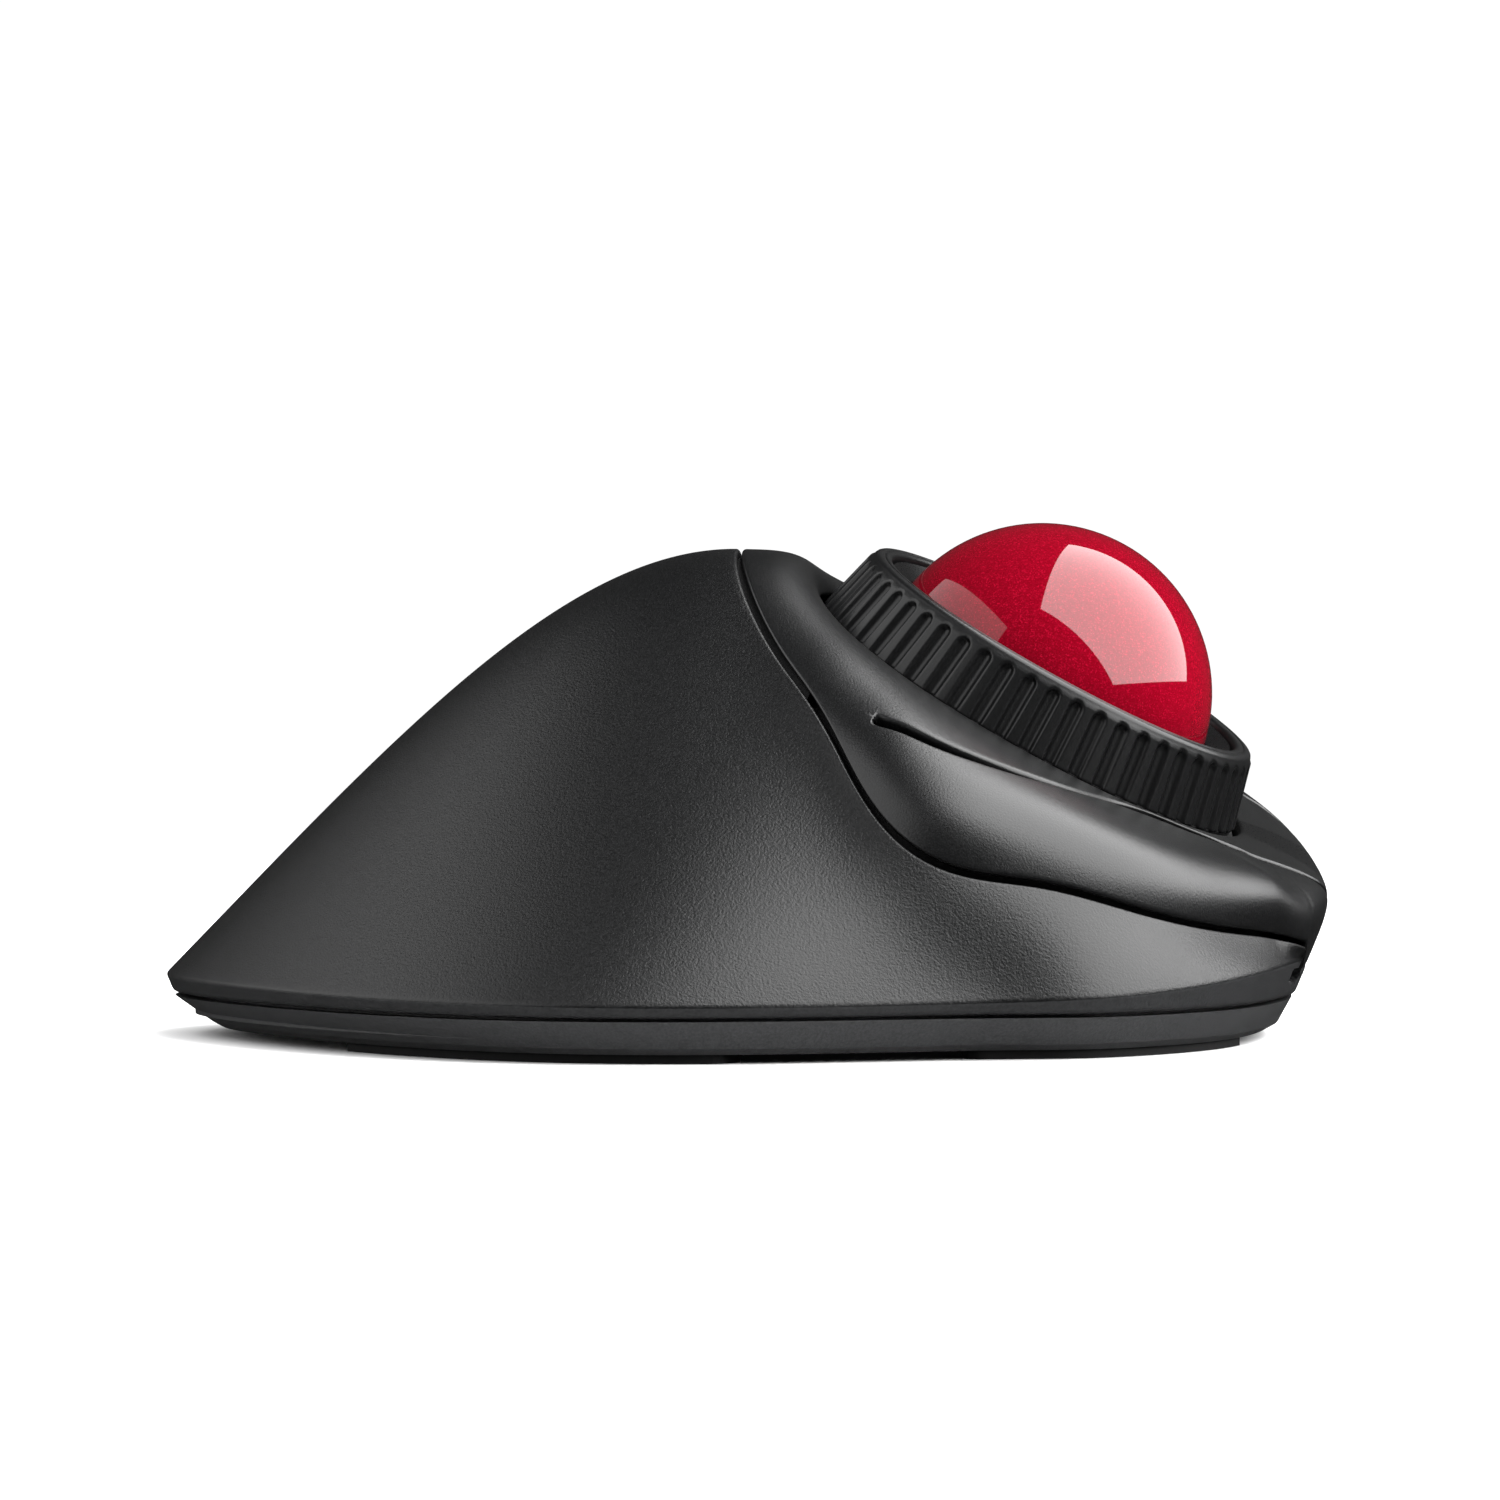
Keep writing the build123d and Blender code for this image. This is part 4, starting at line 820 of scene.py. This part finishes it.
def flute_inset(place, radius, height):
    """How far the surface sinks here; place runs from -0.5 to 0.5 across one flute and its ribs."""
    x = place * 2 * pi * radius / FLUTES
    away = np.hypot(x, max(0.0, height - FLUTE_CAP)) / FLUTE_HALF
    if away < 1:
        return FLUTE_DEPTH * (1 - away**2)**0.5
    return RIB_SINK * max(0.0, 1 - abs(away - 1.0) / RIB_FADE)


def scroll_ring():
    """The fluted ring, turned about its leaning axis."""
    profile = ring_profile()
    turn = np.linspace(0, 2 * pi, FLUTES * PER_FLUTE, endpoint=False)
    phase = (turn * FLUTES / (2 * pi)) % 1.0 - 0.5
    columns = []
    for angle, place in zip(turn, phase):
        direction = ACROSS * cos(angle) + ALONG * sin(angle)
        spots = [BALL + AXIS * height + direction * (radius - (flute_inset(place, radius, height) if cut else 0.0))
                 for radius, height, cut in profile]
        columns.append(np.array(spots) * MM)
    piece = mesh_object("fluted_ring", [part(np.stack(columns), closed=True)])
    dress(piece, "ring_black", "ring", "scroll_ring")


# ---------------------------------------------------------------- stage
STUDIO_DIM, STUDIO_BRIGHT = 0.03, 1.05      # how the studio lights the object, and how bright it looks behind it
FLOOR_HALF = 8.0
KEY_FROM, KEY_FAR = Vector((0.69, -0.15, 0.71)), 0.55       # the directions from the ball, and how far off
FILL_FROM, FILL_FAR = Vector((-0.85, -0.10, 0.44)), 0.58
EVEN_FROM = (0.2, -0.3, 1.0)
EYE = (0.00036, -0.54938, 0.0332)


def floor():
    """A pale floor, which isn't seen in reflections."""
    half = FLOOR_HALF
    mesh = bpy.data.meshes.new("floor")
    mesh.from_pydata([(-half, -half, 0), (half, -half, 0), (half, half, 0), (-half, half, 0)], [], [(0, 1, 2, 3)])
    thing = bpy.data.objects.new("floor", mesh)
    bpy.context.scene.collection.objects.link(thing)
    material = bpy.data.materials.new("floor")
    _, shader = nodes_of(material)
    shader.inputs["Base Color"].default_value = (0.93, 0.93, 0.93, 1)
    shader.inputs["Roughness"].default_value = 0.9
    shader.inputs["Specular IOR Level"].default_value = 0.1
    thing.data.materials.append(material)
    thing.visible_glossy = False


def studio():
    """White surroundings that look bright and light the object only a little."""
    world = bpy.data.worlds.new("studio")
    world.use_nodes = True
    tree = world.node_tree
    background = tree.nodes["Background"]
    background.inputs["Color"].default_value = (1, 1, 1, 1)
    path = tree.nodes.new("ShaderNodeLightPath")
    level = tree.nodes.new("ShaderNodeMapRange")
    level.inputs["To Min"].default_value = STUDIO_DIM
    level.inputs["To Max"].default_value = STUDIO_BRIGHT
    tree.links.new(path.outputs["Is Camera Ray"], level.inputs["Value"])
    tree.links.new(level.outputs["Result"], background.inputs["Strength"])
    bpy.context.scene.world = world
    bpy.context.scene.view_settings.view_transform = "Standard"


def lamp(name, kind, place, aim, power):
    """A light at this place, aimed at another."""
    data = bpy.data.lights.new(name, kind)
    data.energy = power
    thing = bpy.data.objects.new(name, data)
    thing.location = place
    thing.rotation_euler = (Vector(aim) - Vector(place)).to_track_quat("-Z", "Y").to_euler()
    bpy.context.scene.collection.objects.link(thing)
    return thing


def softbox(name, place, aim, width, height, power):
    thing = lamp(name, "AREA", place, aim, power)
    thing.data.shape, thing.data.size, thing.data.size_y = "RECTANGLE", width, height


def lights():
    """A large softbox above the front, a weaker one behind, and even light from above that isn't reflected."""
    ball = Vector(BALL * MM)
    softbox("key", ball + KEY_FROM * KEY_FAR, ball, 0.92, 0.92, 17.0)
    softbox("fill", ball + FILL_FROM * FILL_FAR, ball, 0.90, 0.60, 2.5)
    even = lamp("even", "SUN", EVEN_FROM, (0, 0, 0), 3.8)
    even.data.angle = radians(110)
    even.visible_glossy = False


def camera():
    """A level camera beside the object."""
    lens = bpy.data.cameras.new("camera")
    lens.lens, lens.sensor_width = 113.4, 36.0
    lens.clip_start, lens.clip_end = 0.01, 20.0
    eye = bpy.data.objects.new("camera", lens)
    eye.location = EYE
    eye.rotation_euler = (pi / 2, 0, 0)
    bpy.context.scene.collection.objects.link(eye)
    bpy.context.scene.camera = eye


floor()
studio()
lights()
camera()
palm_cover()
panels()
seam_strip()
scroll_ring()
